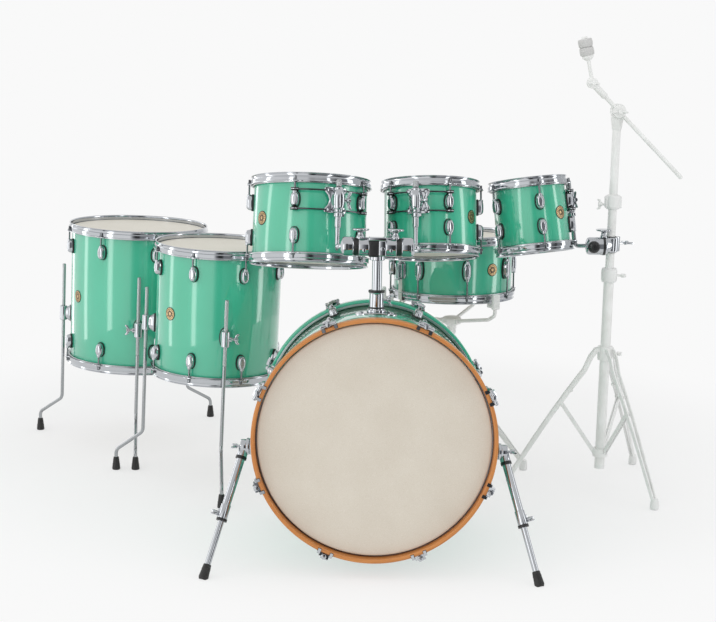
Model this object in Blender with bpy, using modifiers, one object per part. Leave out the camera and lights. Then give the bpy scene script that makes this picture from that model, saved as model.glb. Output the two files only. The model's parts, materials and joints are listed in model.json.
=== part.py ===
"""Drum kit: bass drum, three rack toms, two floor toms, snare drum and their stands.

Metres, +Z up, the audience on the -Y side and the drummer on the +Y side. Places are
measured from the floor under the bass drum's front hoop, and the part's origin is the
centre of the kit's footprint. Each drum is built round its own +Z axis, with its batter
head at +Z, and an angle round a drum runs from its -Y side towards its +X side.
"""
import math

import bmesh
import bpy
from mathutils import Matrix, Vector

# Fits
GAP = 0.0003                 # between pieces that touch
BORE_GAP = 0.0004            # between a rod and the bore that it slides in
BORE_PAST = 0.001            # how far a bore's cutter passes its open end

# Layout on the floor
FOOTPRINT_CENTRE = (-0.1084, 0.7231)
BASS_TILT = math.radians(4.6)
TOM12_PLACE = (-0.181, 0.580, 0.781)     # centre of the shell
TOM12_LEAN = (0.012, 0.220)              # slope of the axis towards +X and +Y
TOM10_PLACE = (0.147, 0.672, 0.784)
TOM10_LEAN = (-0.018, 0.247)
TOM8_PLACE = (0.431, 0.744, 0.790)
TOM8_LEAN = (-0.132, 0.180)
FLOOR14_PLACE = (-0.450, 0.840, 0.493)
FLOOR14_LEAN = (0.033, 0.006)
FLOOR16_PLACE = (-0.737, 1.210, 0.467)
FLOOR16_LEAN = (0.028, 0.012)
SNARE_PLACE = (0.237, 1.070, 0.601)
SNARE_LEAN = (-0.013, 0.035)
BOOM_STAND_PLACE = (0.667, 0.803)

# Shells, heads and hoops
INCH = 0.0254
TOM_WALL = 0.006
TOM_STEPS = 22
WIDE_STEPS = 26              # floor toms and snare drum
HEAD_FILM = 0.0012
HEAD_RING_WIDTH = 0.006
HEAD_RING_DEPTH = 0.012
HOOP_INSET = 0.0035          # inner face of a metal hoop, outside the shell
HOOP_THICKNESS = 0.0025
HOOP_FLANGE_WIDTH = 0.0145
HOOP_HEIGHT = 0.0135
RIM_ABOVE_SHELL = GAP + HEAD_FILM + GAP + HOOP_HEIGHT

# Lugs and tension rods
LUG_HALF_WIDTH = 0.0125
LUG_HALF_HEIGHT = 0.0225
LUG_DEPTH = 0.019
LUG_INSET = 0.055            # lug centre to the shell's edge
LUG_FOOT = 0.003             # how far a lug or bracket reaches into the shell's wall
ROD_RADIUS = 0.0035
ROD_OUT = 0.0125             # rod axis to the shell's outer face
SNARE_LUG_HALF_HEIGHT = 0.031

# Bass drum
BASS_RADIUS = 0.2794
BASS_LENGTH = 0.4572
BASS_WALL = 0.007
BASS_STEPS = 34              # two more than a multiple of four, so it stands on a flat
BASS_HOOP_OUT = 0.0166       # outer face of a hoop, outside the shell
BASS_HOOP_RADIUS = BASS_RADIUS + BASS_HOOP_OUT
BASS_HOOP_THICKNESS = 0.0095
BASS_HOOP_WIDTH = 0.039
BASS_HOOP_REACH = 0.024      # hoop's front face past the shell's edge
BASS_LUGS = 8
BASS_LUG_DEPTH = 0.031
BASS_LUG_HALF_HEIGHT = 0.024
BASS_LUG_INSET = 0.092
BASS_HEAD_COLLAR = 0.0018
BASS_RING_WIDTH = 0.0075
CLAW_SIZE = (0.026, 0.019, 0.024)    # round the hoop, outwards, along the drum
CLAW_LIP = 0.003
CLAW_GRIP = 0.008            # how far the claw reaches down the hoop's face
CLAW_ROD_DROP = 0.002        # rod axis under the middle of the claw
T_BAR = (0.040, 0.007, 0.007)
T_BAR_REACH = 0.014

# Bass drum spurs
SPUR_BACK = 0.112            # pivot behind the front hoop
SPUR_HEIGHT = 0.288
SPUR_BOSS_RADIUS = 0.021
SPUR_PLATE = 0.024           # bracket out from the shell
SPUR_BOSS = 0.024
SPUR_FOOT = (0.402, -0.041)  # foot on the floor, beside and in front of the hoop
SPUR_TUBE_RADIUS = 0.0115
SPUR_TUBE_LENGTH = 0.185
SPUR_LEG_RADIUS = 0.0080
SPUR_INSERT = 0.060
SPUR_BORE = 0.150
FOOT_RADIUS = 0.0125
FOOT_LENGTH = 0.036
FOOT_TAPER = 0.85            # of a rubber foot's radius, at its upper end
FLOOR_CUT = 0.1              # height of the cutter that trims a foot at the floor

# Double tom holder on the bass drum
POST_BACK = 0.272            # post axis behind the front hoop
POST_RADIUS = 0.0127
POST_INSIDE = 0.095
POST_RISE = 0.194            # shell to the top of the post
POST_PLATE_RADIUS = 0.052
POST_PLATE = 0.004
POST_SLEEVE_RADIUS = 0.0195
POST_SLEEVE = 0.054
BLOCK = (0.044, 0.046, 0.044)
RECEIVER_RADIUS = 0.0235
RECEIVER_LENGTH = 0.050
BALL_RADIUS = 0.0130
BALL_SIDES = 10
BALL_SEAT = (BALL_RADIUS + GAP) / math.cos(math.pi / BALL_SIDES)    # lets the faceted ball turn
BALL_OUT = 0.008             # ball centre past the receiver's end
HOLDER_OVERLAP = 0.004       # block, receivers and knobs into each other
T_KNOB_RADIUS = 0.020
T_KNOB_STEM = 0.006
T_KNOB_RISE = 0.026
T_KNOB_OUT = 0.022           # knob past the block's side

# Rack tom brackets and arms
ARM_RADIUS = 0.0062
ARM_BEND = 0.014
ARM_LEAVE = 0.022            # straight out of the ball, along the tilt's axis
ARM_DROP = 0.128             # bracket centre down to the arm's bend
ARM_ABOVE = 0.052
BARREL_OUT = 0.028           # arm axis to the shell's outer face
BARREL_RADIUS = 0.0125
BARREL_HEIGHT = 0.086
BRACKET_PLATE = (0.056, 0.007, 0.062)
BRACKET_PLATE_OUT = 0.011
BRACKET_WEB = (0.012, 0.050)
BAR_STEPS = 5
BAR_RADIUS = 0.0022
GROMMET_RADIUS = 0.0075
GROMMET_HEIGHT = 0.005

# Floor tom legs
LEG_RADIUS = 0.0052
LEG_OUT = 0.027              # leg axis to the shell's outer face
LEG_BRACKET = (0.034, 0.041, 0.046)
LEG_BRACKET_UP = 0.128       # bracket centre above the shell's lower edge
LEG_TOP = 0.565              # heights above the floor
LEG_KNEE = 0.125
LEG_ANKLE = 0.060
LEG_BEND = 0.024
LEG_FOOT_RADIUS = 0.0115
LEG_FOOT_LENGTH = 0.032
LEG_NAMES = ("left", "front", "rear")
FLOOR14_BRACKET_ANGLES = (-86, 11.5, 140)
FLOOR14_FEET_OUT = (0.300, 0.335, 0.315)     # feet from the middle of the drum
FLOOR14_FOOT_ANGLES = (-92.3, 7.3, 147)
FLOOR16_BRACKET_ANGLES = (-91, 9.2, 141)
FLOOR16_FEET_OUT = (0.331, 0.358, 0.345)
FLOOR16_FOOT_ANGLES = (-101.9, 7.0, 144)

# Snare strainer, wires and stand
STRAINER_ANGLE = math.radians(-58)
STRAINER = (0.030, 0.018, 0.052)
STRAINER_DROP = 0.008        # its centre under the middle of the shell
LEVER = (0.018, 0.007, 0.046)
WIRES = (0.300, 0.042, 0.003)
BASKET_HUB_DROP = 0.075      # hub under the snare's lower rim
BASKET_HUB_RADIUS = 0.030
BASKET_HUB_HEIGHT = 0.026
BASKET_ARM_RADIUS = 0.0055
BASKET_ARM_START = 0.020
BASKET_ARM_BEND = 0.018
BASKET_ARM_RISE = 0.028      # upright end of each arm
BASKET_ARM_OUT = 0.009       # outside the snare's hoop
BASKET_ANGLE = math.radians(34.5)
BASKET_TIP = (0.020, 0.010, 0.034)
BASKET_TIP_SHIFT = 0.002     # tip's centre past the arm's
BASKET_TIP_OVERLAP = 0.004
BASKET_LEDGE = 0.012
BASKET_LEDGE_REACH = 0.034
SNARE_POST_RADIUS = 0.0095
SNARE_TUBE_RADIUS = 0.0127
SNARE_TUBE_TOP = 0.335
SNARE_POST_INSERT = 0.150
SNARE_CROWN = 0.250
SNARE_BRACE_COLLAR = 0.085
SNARE_FOOT_OUT = 0.255
SNARE_FIRST_LEG = math.radians(60)
SNARE_COLLAR = 0.036

# Tripods
COLLAR_WALL = 0.0085         # collars and clamps out from their tube
CROWN_HEIGHT = 0.040
BRACE_COLLAR_HEIGHT = 0.024
TUBE_LOW = 0.055             # lower end of the centre tube
TUBE_FLOOR = 0.020           # solid end under the bore
RAIL = (0.012, 0.005)
RAIL_FOOT_SHARE = 0.35       # spread of the rails at the foot
RAIL_FOOT_HEIGHT = 0.021
RAIL_HEAD_OUT = 0.006        # rails' upper end past the centre tube's side
BRACE_MEET = 2.45            # where a brace meets its leg, in heights of its collar
RAIL_SPREAD = 0.011
BRACE = (0.014, 0.004)
STAND_FOOT_RADIUS = 0.0125
STAND_FOOT_HEIGHT = 0.030

# Boom stand
BOOM_TUBE_RADIUS = 0.0143
BOOM_POST_RADIUS = 0.0122
BOOM_CROWN = 0.393
BOOM_BRACE_COLLAR = 0.098
BOOM_FOOT_OUT = 0.258
BOOM_FIRST_LEG = math.radians(28)
BOOM_CLAMP = 0.040
BOOM_POST_INSERT = 0.180
CLAMP_HEIGHT = 0.708         # of the multi-clamp, between the stand's two own clamps
CLAMP_DEPTH = 0.044
CLAMP_ROOM_BELOW = 0.046
CLAMP_ROOM_ABOVE = 0.079
BOOM_TUBE_TOP = CLAMP_HEIGHT - CLAMP_DEPTH / 2 - CLAMP_ROOM_BELOW - BOOM_CLAMP / 2
BOOM_STEP_HEIGHT = CLAMP_HEIGHT + CLAMP_DEPTH / 2 + CLAMP_ROOM_ABOVE + BOOM_CLAMP / 2
BOOM_THIN_RADIUS = 0.0118
BOOM_PIVOT_HEIGHT = 1.084
BOOM_OFFSET = 0.026          # boom beside the post
BOOM_RADIUS = 0.0060
BOOM_ANGLE = math.radians(44.6)
BOOM_TAIL = 0.259
BOOM_NOSE = 0.109
BOOM_HUB_RADIUS = 0.020
BOOM_HUB_WALL = 0.006        # hub past the boom's side
BOOM_BOSS_RADIUS = 0.021
BOOM_BOSS_BACK = 0.014
TILTER_RADIUS = 0.015
TILTER_LENGTH = 0.030
SLEEVE_RISE = 0.128
SLEEVE_LEAN = math.radians(-13)
SLEEVE_END = 0.004           # sleeve past the felts
SLEEVE_RADIUS = 0.004
FELT_RADIUS = 0.0205
FELT_HEIGHT = 0.046

# Multi-clamp for the small tom
CLAMP_BALL = (0.617, 0.762)
CLAMP_BARREL_RADIUS = 0.0235
CLAMP_BARREL_START = 0.005   # past the post's side
CLAMP_BOLT_RADIUS = 0.0055
CLAMP_BOLT = 0.050
CLAMP_BOLT_OVERLAP = 0.005


# Collections and materials
def new_collection(name):
    collection = bpy.data.collections.new(name)
    bpy.context.scene.collection.children.link(collection)
    return collection


for old in list(bpy.data.objects):
    bpy.data.objects.remove(old)
PARTS = new_collection("drum_kit")
CUTTERS = new_collection("drum_kit_cutters")
WORLD = {}


def finish(name, colour, roughness, metallic):
    material = bpy.data.materials.new(name)
    material.use_nodes = True
    shader = material.node_tree.nodes["Principled BSDF"]
    shader.inputs["Base Color"].default_value = (*colour, 1.0)
    shader.inputs["Roughness"].default_value = roughness
    shader.inputs["Metallic"].default_value = metallic
    return material


LACQUER = (0.085, 0.520, 0.335)
CHROME = (0.80, 0.81, 0.83)
COATED = (0.86, 0.85, 0.80)
MAPLE = (0.62, 0.30, 0.10)
PALE = (0.84, 0.85, 0.86)
FINISHES = {
    "shell": (LACQUER, 0.12, 0.0),
    "head": (COATED, 0.55, 0.0),
    "hoop": (CHROME, 0.10, 1.0),
    "front_hoop": (MAPLE, 0.25, 0.0),
    "batter_hoop": (LACQUER, 0.15, 0.0),
    "arm": (CHROME, 0.12, 1.0),
    "leg": (CHROME, 0.14, 1.0),
    "stand": (PALE, 0.45, 0.2),
}


# Solids
class Solid:
    """Closed primitives gathered in one mesh, in the piece's own coordinates."""

    def __init__(self):
        self.mesh = bmesh.new()

    def box(self, size, matrix=Matrix()):
        scale = Matrix.Diagonal((*size, 1.0))
        bmesh.ops.create_cube(self.mesh, size=1.0, matrix=matrix @ scale)
        return self

    def cylinder(self, radius, depth, matrix=Matrix(), segments=8, top=None):
        bmesh.ops.create_cone(self.mesh, cap_ends=True, segments=segments, radius1=radius,
                              radius2=radius if top is None else top, depth=depth, matrix=matrix)
        return self

    def oval(self, half_width, half_height, depth, matrix):
        """A six-sided prism along its local Y, with a flat top and bottom."""
        flat = math.cos(math.pi / 6)
        turn = Matrix.Rotation(math.pi / 2, 4, "X") @ Matrix.Rotation(math.pi / 2, 4, "Z")
        stretch = Matrix.Diagonal((half_width, 1.0, half_height / flat, 1.0))
        return self.cylinder(1.0, depth, matrix @ stretch @ turn, 6)

    def ball(self, radius, matrix):
        bmesh.ops.create_uvsphere(self.mesh, u_segments=BALL_SIDES, v_segments=6, radius=radius,
                                  matrix=matrix)
        return self

    def make(self, name, collection=CUTTERS):
        data = bpy.data.meshes.new(name)
        self.mesh.to_mesh(data)
        self.mesh.free()
        item = bpy.data.objects.new(name, data)
        collection.objects.link(item)
        return item


def turned(name, profile, steps, collection=PARTS):
    """A profile in the XZ plane turned round Z, listed down its outer side."""
    data = bpy.data.meshes.new(name)
    on_axis = profile[0][0] == 0.0
    edges = [(i, i + 1) for i in range(len(profile) - 1)]
    if not on_axis:
        edges.append((len(profile) - 1, 0))
    data.from_pydata([(x, 0.0, z) for x, z in profile], edges, [])
    item = bpy.data.objects.new(name, data)
    collection.objects.link(item)
    screw = item.modifiers.new("Turn", "SCREW")
    screw.steps = screw.render_steps = steps
    screw.use_merge_vertices = True
    screw.merge_threshold = 0.00001
    return item


def rounded(points, radius, steps=2):
    """The same path with each inner corner replaced by an arc of the given radius."""
    points = [Vector(p) for p in points]
    path = [points[0]]
    for before, corner, after in zip(points, points[1:], points[2:]):
        into = (corner - before).normalized()
        out = (after - corner).normalized()
        turn = into.angle(out)
        back = radius * math.tan(turn / 2)
        side = (out - into).normalized()
        centre = corner + side * (radius / math.cos(turn / 2))
        start = corner - into * back - centre
        axis = into.cross(out).normalized()
        for i in range(steps + 1):
            path.append(centre + Matrix.Rotation(turn * i / steps, 3, axis) @ start)
    path.append(points[-1])
    return path


def tube(name, points, radius, resolution=1, collection=CUTTERS):
    """A bent rod: a curve with a round bevel and filled caps, turned into a mesh."""
    curve = bpy.data.curves.new(name, "CURVE")
    curve.dimensions = "3D"
    curve.bevel_depth = radius
    curve.bevel_resolution = resolution
    curve.use_fill_caps = True
    spline = curve.splines.new("POLY")
    spline.points.add(len(points) - 1)
    for point, place in zip(spline.points, points):
        point.co = (*place, 1.0)
    guide = bpy.data.objects.new(name + "_guide", curve)
    CUTTERS.objects.link(guide)
    evaluated = guide.evaluated_get(bpy.context.evaluated_depsgraph_get())
    data = bpy.data.meshes.new_from_object(evaluated)
    mesh = bmesh.new()
    mesh.from_mesh(data)
    bmesh.ops.remove_doubles(mesh, verts=mesh.verts, dist=0.00001)
    mesh.to_mesh(data)
    mesh.free()
    item = bpy.data.objects.new(name, data)
    item.matrix_world = guide.matrix_world
    bpy.data.objects.remove(guide)
    collection.objects.link(item)
    return item


def boolean(item, tool, operation):
    tool.name = item.name + "_" + operation.lower()
    tool.parent = item
    tool.hide_render = True
    tool.display_type = "WIRE"
    modifier = item.modifiers.new(operation.title(), "BOOLEAN")
    modifier.operation = operation
    modifier.solver = "EXACT"
    modifier.object = tool


def add(item, tool):
    boolean(item, tool, "UNION")


def cut(item, tool):
    boolean(item, tool, "DIFFERENCE")


def dress(item, look):
    """Give a piece its own material and smooth its round faces."""
    colour, roughness, metallic = FINISHES[look]
    item.data.materials.append(finish(item.name + "_finish", colour, roughness, metallic))
    item.data.shade_smooth()
    item.data.set_sharp_from_angle(angle=math.radians(35))
    return item


def attach(item, world, parent=None):
    """Place a piece or an empty in the world and hang it on its parent."""
    if parent is not None:
        item.parent = parent
        item.matrix_parent_inverse = WORLD[parent.name].inverted()
    item.matrix_basis = world
    WORLD[item.name] = world
    return item


def facing(place, axis):
    """A frame at a place whose Z lies along the axis."""
    return Matrix.Translation(place) @ Vector(axis).to_track_quat("Z", "Y").to_matrix().to_4x4()


def joint(name, place, axis, parent=None):
    """An empty on a joint's axis, with its Z along that axis."""
    empty = bpy.data.objects.new("joint_" + name, None)
    empty.empty_display_size = 0.05
    PARTS.objects.link(empty)
    return attach(empty, facing(place, axis), parent)


def on_floor(place, height=0.0):
    return Vector((place[0] - FOOTPRINT_CENTRE[0], place[1] - FOOTPRINT_CENTRE[1], height))


def around(angle, out, height):
    """A frame beside a drum's axis at an angle, with its -Y pointing away from the axis."""
    return Matrix.Rotation(angle, 4, "Z") @ Matrix.Translation((0.0, -out, height))


def spread(count, first):
    return [first + math.tau * i / count for i in range(count)]


def bore_radius(radius, segments=12):
    """Corner radius of a bore whose flats clear a rod."""
    return (radius + BORE_GAP) / math.cos(math.pi / segments)


# Parts that every rack tom, floor tom and snare drum has
class Drum:
    """Sizes, place and frame of one drum, whose shell is centred on its frame."""

    def __init__(self, name, inches, deep, steps, lugs, first_lug, frame, rows=2):
        self.name = name
        self.radius = inches * INCH / 2
        self.half = deep * INCH / 2
        self.steps = steps
        self.angles = spread(lugs, math.radians(first_lug))
        self.frame = frame
        if rows == 2:
            self.lug_half = LUG_HALF_HEIGHT
            self.lug_heights = (self.half - LUG_INSET, LUG_INSET - self.half)
        else:
            self.lug_half = SNARE_LUG_HALF_HEIGHT
            self.lug_heights = (0.0, 0.0)

    def seat(self, item, look, parent, flip=False):
        turn = Matrix.Rotation(math.pi, 4, "X") if flip else Matrix()
        return dress(attach(item, self.frame @ turn, parent), look)


def leaning(place, lean):
    """A drum's frame at a place, tipped so that its axis leans by the given slopes."""
    tip = Vector((0.0, 0.0, 1.0)).rotation_difference(Vector((lean[0], lean[1], 1.0)))
    return Matrix.Translation(on_floor(place, place[2])) @ tip.to_matrix().to_4x4()


def drum_shell(drum, parent, extra=None, bores=None):
    """The shell with its lugs, and any brackets screwed to it."""
    outer, inner = drum.radius, drum.radius - TOM_WALL
    shell = turned(drum.name + "_shell", [(outer, drum.half), (outer, -drum.half),
                                          (inner, -drum.half), (inner, drum.half)], drum.steps)
    fittings = extra or Solid()
    depth = LUG_FOOT + LUG_DEPTH
    for angle in drum.angles:
        for height in sorted(set(drum.lug_heights)):
            place = around(angle, outer - LUG_FOOT + depth / 2, height)
            fittings.oval(LUG_HALF_WIDTH, drum.lug_half, depth, place)
    add(shell, fittings.make("fittings"))
    if bores:
        cut(shell, bores.make("bores"))
    return drum.seat(shell, "shell", parent)


def drum_head(drum, end, parent):
    """A coated head: its film over the shell's edge and its ring outside the shell."""
    low = drum.half + GAP
    high = low + HEAD_FILM
    inner = drum.radius + GAP
    outer = drum.radius + HEAD_RING_WIDTH
    profile = [(0.0, high), (outer, high), (outer, high - HEAD_RING_DEPTH),
               (inner, high - HEAD_RING_DEPTH), (inner, low), (0.0, low)]
    head = turned("{}_{}_head".format(drum.name, end), profile, drum.steps)
    return drum.seat(head, "head", parent, end == "bottom")


def drum_hoop(drum, end, parent):
    """A flanged metal hoop on the head's ring, with the tension rods from it to the lugs."""
    low = drum.half + GAP + HEAD_FILM + GAP
    inner = drum.radius + HOOP_INSET
    wall = inner + HOOP_THICKNESS
    flange = inner + HOOP_FLANGE_WIDTH
    profile = [(wall, low + HOOP_HEIGHT), (wall, low + HOOP_THICKNESS), (flange, low + HOOP_THICKNESS),
               (flange, low), (inner, low), (inner, low + HOOP_HEIGHT)]
    hoop = turned("{}_{}_hoop".format(drum.name, end), profile, drum.steps)
    rods = Solid()
    top = low + HOOP_THICKNESS / 2
    foot = abs(drum.lug_heights[0]) + drum.lug_half + GAP
    for angle in drum.angles:
        turn = math.pi - angle if end == "bottom" else angle
        rods.cylinder(ROD_RADIUS, top - foot, around(turn, drum.radius + ROD_OUT, (top + foot) / 2), 5)
    add(hoop, rods.make("rods"))
    return drum.seat(hoop, "hoop", parent, end == "bottom")


def heads_and_hoops(drum, parent):
    for end in ("batter", "bottom"):
        drum_head(drum, end, parent)
        drum_hoop(drum, end, parent)


# Bass drum, with its lugs, spur brackets and tom holder base on the shell
BASS_REACH = BASS_LENGTH / 2 + BASS_HOOP_REACH
BASS_FLAT = BASS_HOOP_RADIUS * math.cos(math.pi / BASS_STEPS)
BASS_CENTRE_HEIGHT = BASS_FLAT * math.cos(BASS_TILT) + BASS_REACH * math.sin(BASS_TILT)
BASS_FRAME = (Matrix.Translation(on_floor((0.0, BASS_REACH * math.cos(BASS_TILT)), BASS_CENTRE_HEIGHT))
              @ Matrix.Rotation(math.pi / 2 - BASS_TILT, 4, "X"))
BASS_ANGLES = spread(BASS_LUGS, math.pi / BASS_LUGS)
BASS_ROD_OUT = BASS_HOOP_RADIUS + CLAW_SIZE[1] / 2 - CLAW_ROD_DROP
POST_ALONG = BASS_REACH - POST_BACK
SPUR_ALONG = BASS_REACH - SPUR_BACK


def bass_up(along, rise):
    """A frame above the bass drum's axis, with its Z away from the axis."""
    return Matrix.Translation((0.0, rise, along)) @ Matrix.Rotation(-math.pi / 2, 4, "X")


def bass_side(side, along, height, out):
    """A frame beside the bass drum with its Z pointing out sideways."""
    return Matrix.Translation((side * out, height, along)) @ Matrix.Rotation(side * math.pi / 2, 4, "Y")


def spur_pivot_height():
    """Height of the spur pivots over the drum's axis, in the drum's own frame."""
    centre = BASS_FRAME @ Vector((0.0, 0.0, SPUR_ALONG))
    return (SPUR_HEIGHT - centre.z) / math.cos(BASS_TILT)


def build_bass():
    outer, inner, half = BASS_RADIUS, BASS_RADIUS - BASS_WALL, BASS_LENGTH / 2
    shell = turned("bass_shell", [(outer, half), (outer, -half), (inner, -half), (inner, half)], BASS_STEPS)
    fittings = Solid()
    depth = LUG_FOOT + BASS_LUG_DEPTH
    for angle in BASS_ANGLES:
        for along in (half - BASS_LUG_INSET, BASS_LUG_INSET - half):
            place = around(angle, outer - LUG_FOOT + depth / 2, along)
            fittings.oval(LUG_HALF_WIDTH, BASS_LUG_HALF_HEIGHT, depth, place)
    height = spur_pivot_height()
    plate = outer + SPUR_PLATE
    root = math.sqrt(outer ** 2 - (abs(height) + SPUR_BOSS_RADIUS) ** 2) - LUG_FOOT
    for side in (-1, 1):
        place = bass_side(side, SPUR_ALONG, height, (root + plate) / 2)
        fittings.cylinder(SPUR_BOSS_RADIUS, plate - root, place, 12)
    foot = math.sqrt(outer ** 2 - POST_PLATE_RADIUS ** 2) - LUG_FOOT
    fittings.cylinder(POST_PLATE_RADIUS, outer + POST_PLATE - foot,
                      bass_up(POST_ALONG, (outer + POST_PLATE + foot) / 2), 16)
    add(shell, fittings.make("fittings"))
    middle = bass_up(POST_ALONG, outer + POST_SLEEVE / 2)
    add(shell, Solid().cylinder(POST_SLEEVE_RADIUS, POST_SLEEVE, middle, 12).make("sleeve"))
    bore = Solid().cylinder(bore_radius(POST_RADIUS), 2 * POST_INSIDE, bass_up(POST_ALONG, outer), 12)
    cut(shell, bore.make("bore"))
    dress(attach(shell, BASS_FRAME), "shell")

    for end, look in (("front", "front_hoop"), ("batter", "batter_hoop")):
        frame = BASS_FRAME if end == "front" else BASS_FRAME @ Matrix.Rotation(math.pi, 4, "X")
        low = half + GAP
        collar = outer + BASS_HEAD_COLLAR
        step = half + BASS_HOOP_REACH - BASS_HOOP_WIDTH - GAP
        ring = outer + BASS_RING_WIDTH
        head = turned("bass_{}_head".format(end), [
            (0.0, low + HEAD_FILM), (collar, low + HEAD_FILM), (collar, step), (ring, step),
            (ring, step - HEAD_RING_DEPTH), (outer + GAP, step - HEAD_RING_DEPTH), (outer + GAP, low),
            (0.0, low)], BASS_STEPS)
        dress(attach(head, frame), "head")
        face = half + BASS_HOOP_REACH
        rim = BASS_HOOP_RADIUS
        hoop = turned("bass_{}_hoop".format(end), [
            (rim, face), (rim, face - BASS_HOOP_WIDTH), (rim - BASS_HOOP_THICKNESS, face - BASS_HOOP_WIDTH),
            (rim - BASS_HOOP_THICKNESS, face)], BASS_STEPS)
        add(hoop, bass_claws(end).make("claws"))
        add(hoop, bass_rods(end).make("rods"))
        dress(attach(hoop, frame), look)


def bass_end_angles(end):
    """Claw angles in the end's own frame, and whether each claw is on the upper half."""
    for angle in BASS_ANGLES:
        yield (math.pi - angle if end == "batter" else angle), math.cos(angle) < 0


def bass_claws(end):
    claws = Solid()
    face = BASS_LENGTH / 2 + BASS_HOOP_REACH
    low = BASS_HOOP_RADIUS - CLAW_GRIP
    for angle, upper in bass_end_angles(end):
        claws.box(CLAW_SIZE, around(angle, low + CLAW_SIZE[1] / 2, face + CLAW_LIP - CLAW_SIZE[2] / 2))
        if upper:
            claws.box(T_BAR, around(angle, BASS_ROD_OUT, face + T_BAR_REACH))
    return claws


def bass_rods(end):
    rods = Solid()
    face = BASS_LENGTH / 2 + BASS_HOOP_REACH
    foot = BASS_LENGTH / 2 - BASS_LUG_INSET + BASS_LUG_HALF_HEIGHT + GAP
    top = face + T_BAR_REACH
    for angle, _ in bass_end_angles(end):
        rods.cylinder(ROD_RADIUS, top - foot, around(angle, BASS_ROD_OUT, (top + foot) / 2), 5)
    return rods


def build_spur(side, word):
    """A folding spur: a tube that swings on the bracket and a leg that slides in it."""
    pivot_out = BASS_RADIUS + SPUR_PLATE + GAP
    local = bass_side(side, SPUR_ALONG, spur_pivot_height(), pivot_out)
    pivot = BASS_FRAME @ local
    start = pivot @ Vector((0.0, 0.0, SPUR_BOSS / 2))
    foot = on_floor((side * SPUR_FOOT[0], SPUR_FOOT[1]))
    aim = (foot - start).normalized()
    reach = (foot - start).length
    swing = joint("spur_{}_swing".format(word), pivot.translation, Vector((1.0, 0.0, 0.0)))
    slide = joint("spur_{}_slide".format(word), start + aim * SPUR_TUBE_LENGTH, aim, swing)

    boss = Solid().cylinder(SPUR_BOSS_RADIUS, SPUR_BOSS, Matrix.Translation((0, 0, SPUR_BOSS / 2)), 12)
    piece = boss.make("spur_{}_tube".format(word), PARTS)
    along = pivot.inverted() @ facing(start, aim)
    add(piece, Solid().cylinder(SPUR_TUBE_RADIUS, SPUR_TUBE_LENGTH,
                                along @ Matrix.Translation((0, 0, SPUR_TUBE_LENGTH / 2)), 10).make("tube"))
    bore = SPUR_BORE + BORE_PAST
    mouth = Matrix.Translation((0, 0, SPUR_TUBE_LENGTH + BORE_PAST - bore / 2))
    cut(piece, Solid().cylinder(bore_radius(SPUR_LEG_RADIUS), bore, along @ mouth, 12).make("bore"))
    dress(attach(piece, pivot, swing), "leg")

    top = SPUR_TUBE_LENGTH - SPUR_INSERT
    tip = reach + FOOT_RADIUS
    leg = Solid().cylinder(SPUR_LEG_RADIUS, tip - FOOT_LENGTH / 2 - top,
                           Matrix.Translation((0, 0, (tip - FOOT_LENGTH / 2 + top) / 2)), 10)
    leg = leg.make("spur_{}_leg".format(word), PARTS)
    shoe = Matrix.Translation((0, 0, tip - FOOT_LENGTH / 2))
    add(leg, Solid().cylinder(FOOT_RADIUS * FOOT_TAPER, FOOT_LENGTH, shoe, 10, FOOT_RADIUS).make("shoe"))
    frame = facing(start, aim)
    ground = frame.inverted() @ Matrix.Translation(foot - Vector((0, 0, FLOOR_CUT / 2)))
    cut(leg, Solid().box((FLOOR_CUT, FLOOR_CUT, FLOOR_CUT), ground).make("floor"))
    dress(attach(leg, frame, slide), "leg")


def build_post():
    """The tom holder's post: a tube in the base, a block and two ball receivers."""
    up = BASS_FRAME @ bass_up(POST_ALONG, BASS_RADIUS)
    slide = joint("tom_post_height", up.translation, up.to_3x3().col[2])
    length = POST_INSIDE + POST_RISE
    post = Solid().cylinder(POST_RADIUS, length, Matrix.Translation((0, 0, POST_RISE - length / 2)), 12)
    post = post.make("tom_post", PARTS)
    middle = POST_RISE - BLOCK[2] / 2 - HOLDER_OVERLAP
    add(post, Solid().box(BLOCK, Matrix.Translation((0, 0, middle))).make("block"))
    barrels, stems, sockets = Solid(), Solid(), Solid()
    for side in (-1, 1):
        inner = BLOCK[0] / 2 - HOLDER_OVERLAP
        end = BLOCK[0] / 2 + RECEIVER_LENGTH
        turn = Matrix.Rotation(math.pi / 2, 4, "Y")
        barrel = Matrix.Translation((side * (end + inner) / 2, 0, middle)) @ turn
        barrels.cylinder(RECEIVER_RADIUS, end - inner, barrel, 12)
        rise = RECEIVER_RADIUS + T_KNOB_RISE / 2 - HOLDER_OVERLAP
        knob = Matrix.Translation((side * (BLOCK[0] / 2 + T_KNOB_OUT), 0, middle + rise))
        stems.cylinder(T_KNOB_STEM, T_KNOB_RISE, knob, 8, T_KNOB_RADIUS)
        sockets.ball(BALL_SEAT, Matrix.Translation((side * (end + BALL_OUT), 0, middle)) @ turn)
    add(post, barrels.make("barrels"))
    add(post, stems.make("stems"))
    cut(post, sockets.make("sockets"))
    dress(attach(post, up, slide), "arm")
    balls = {side: up @ Vector((side * (BLOCK[0] / 2 + RECEIVER_LENGTH + BALL_OUT), 0, middle))
             for side in (-1, 1)}
    return slide, balls


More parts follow.
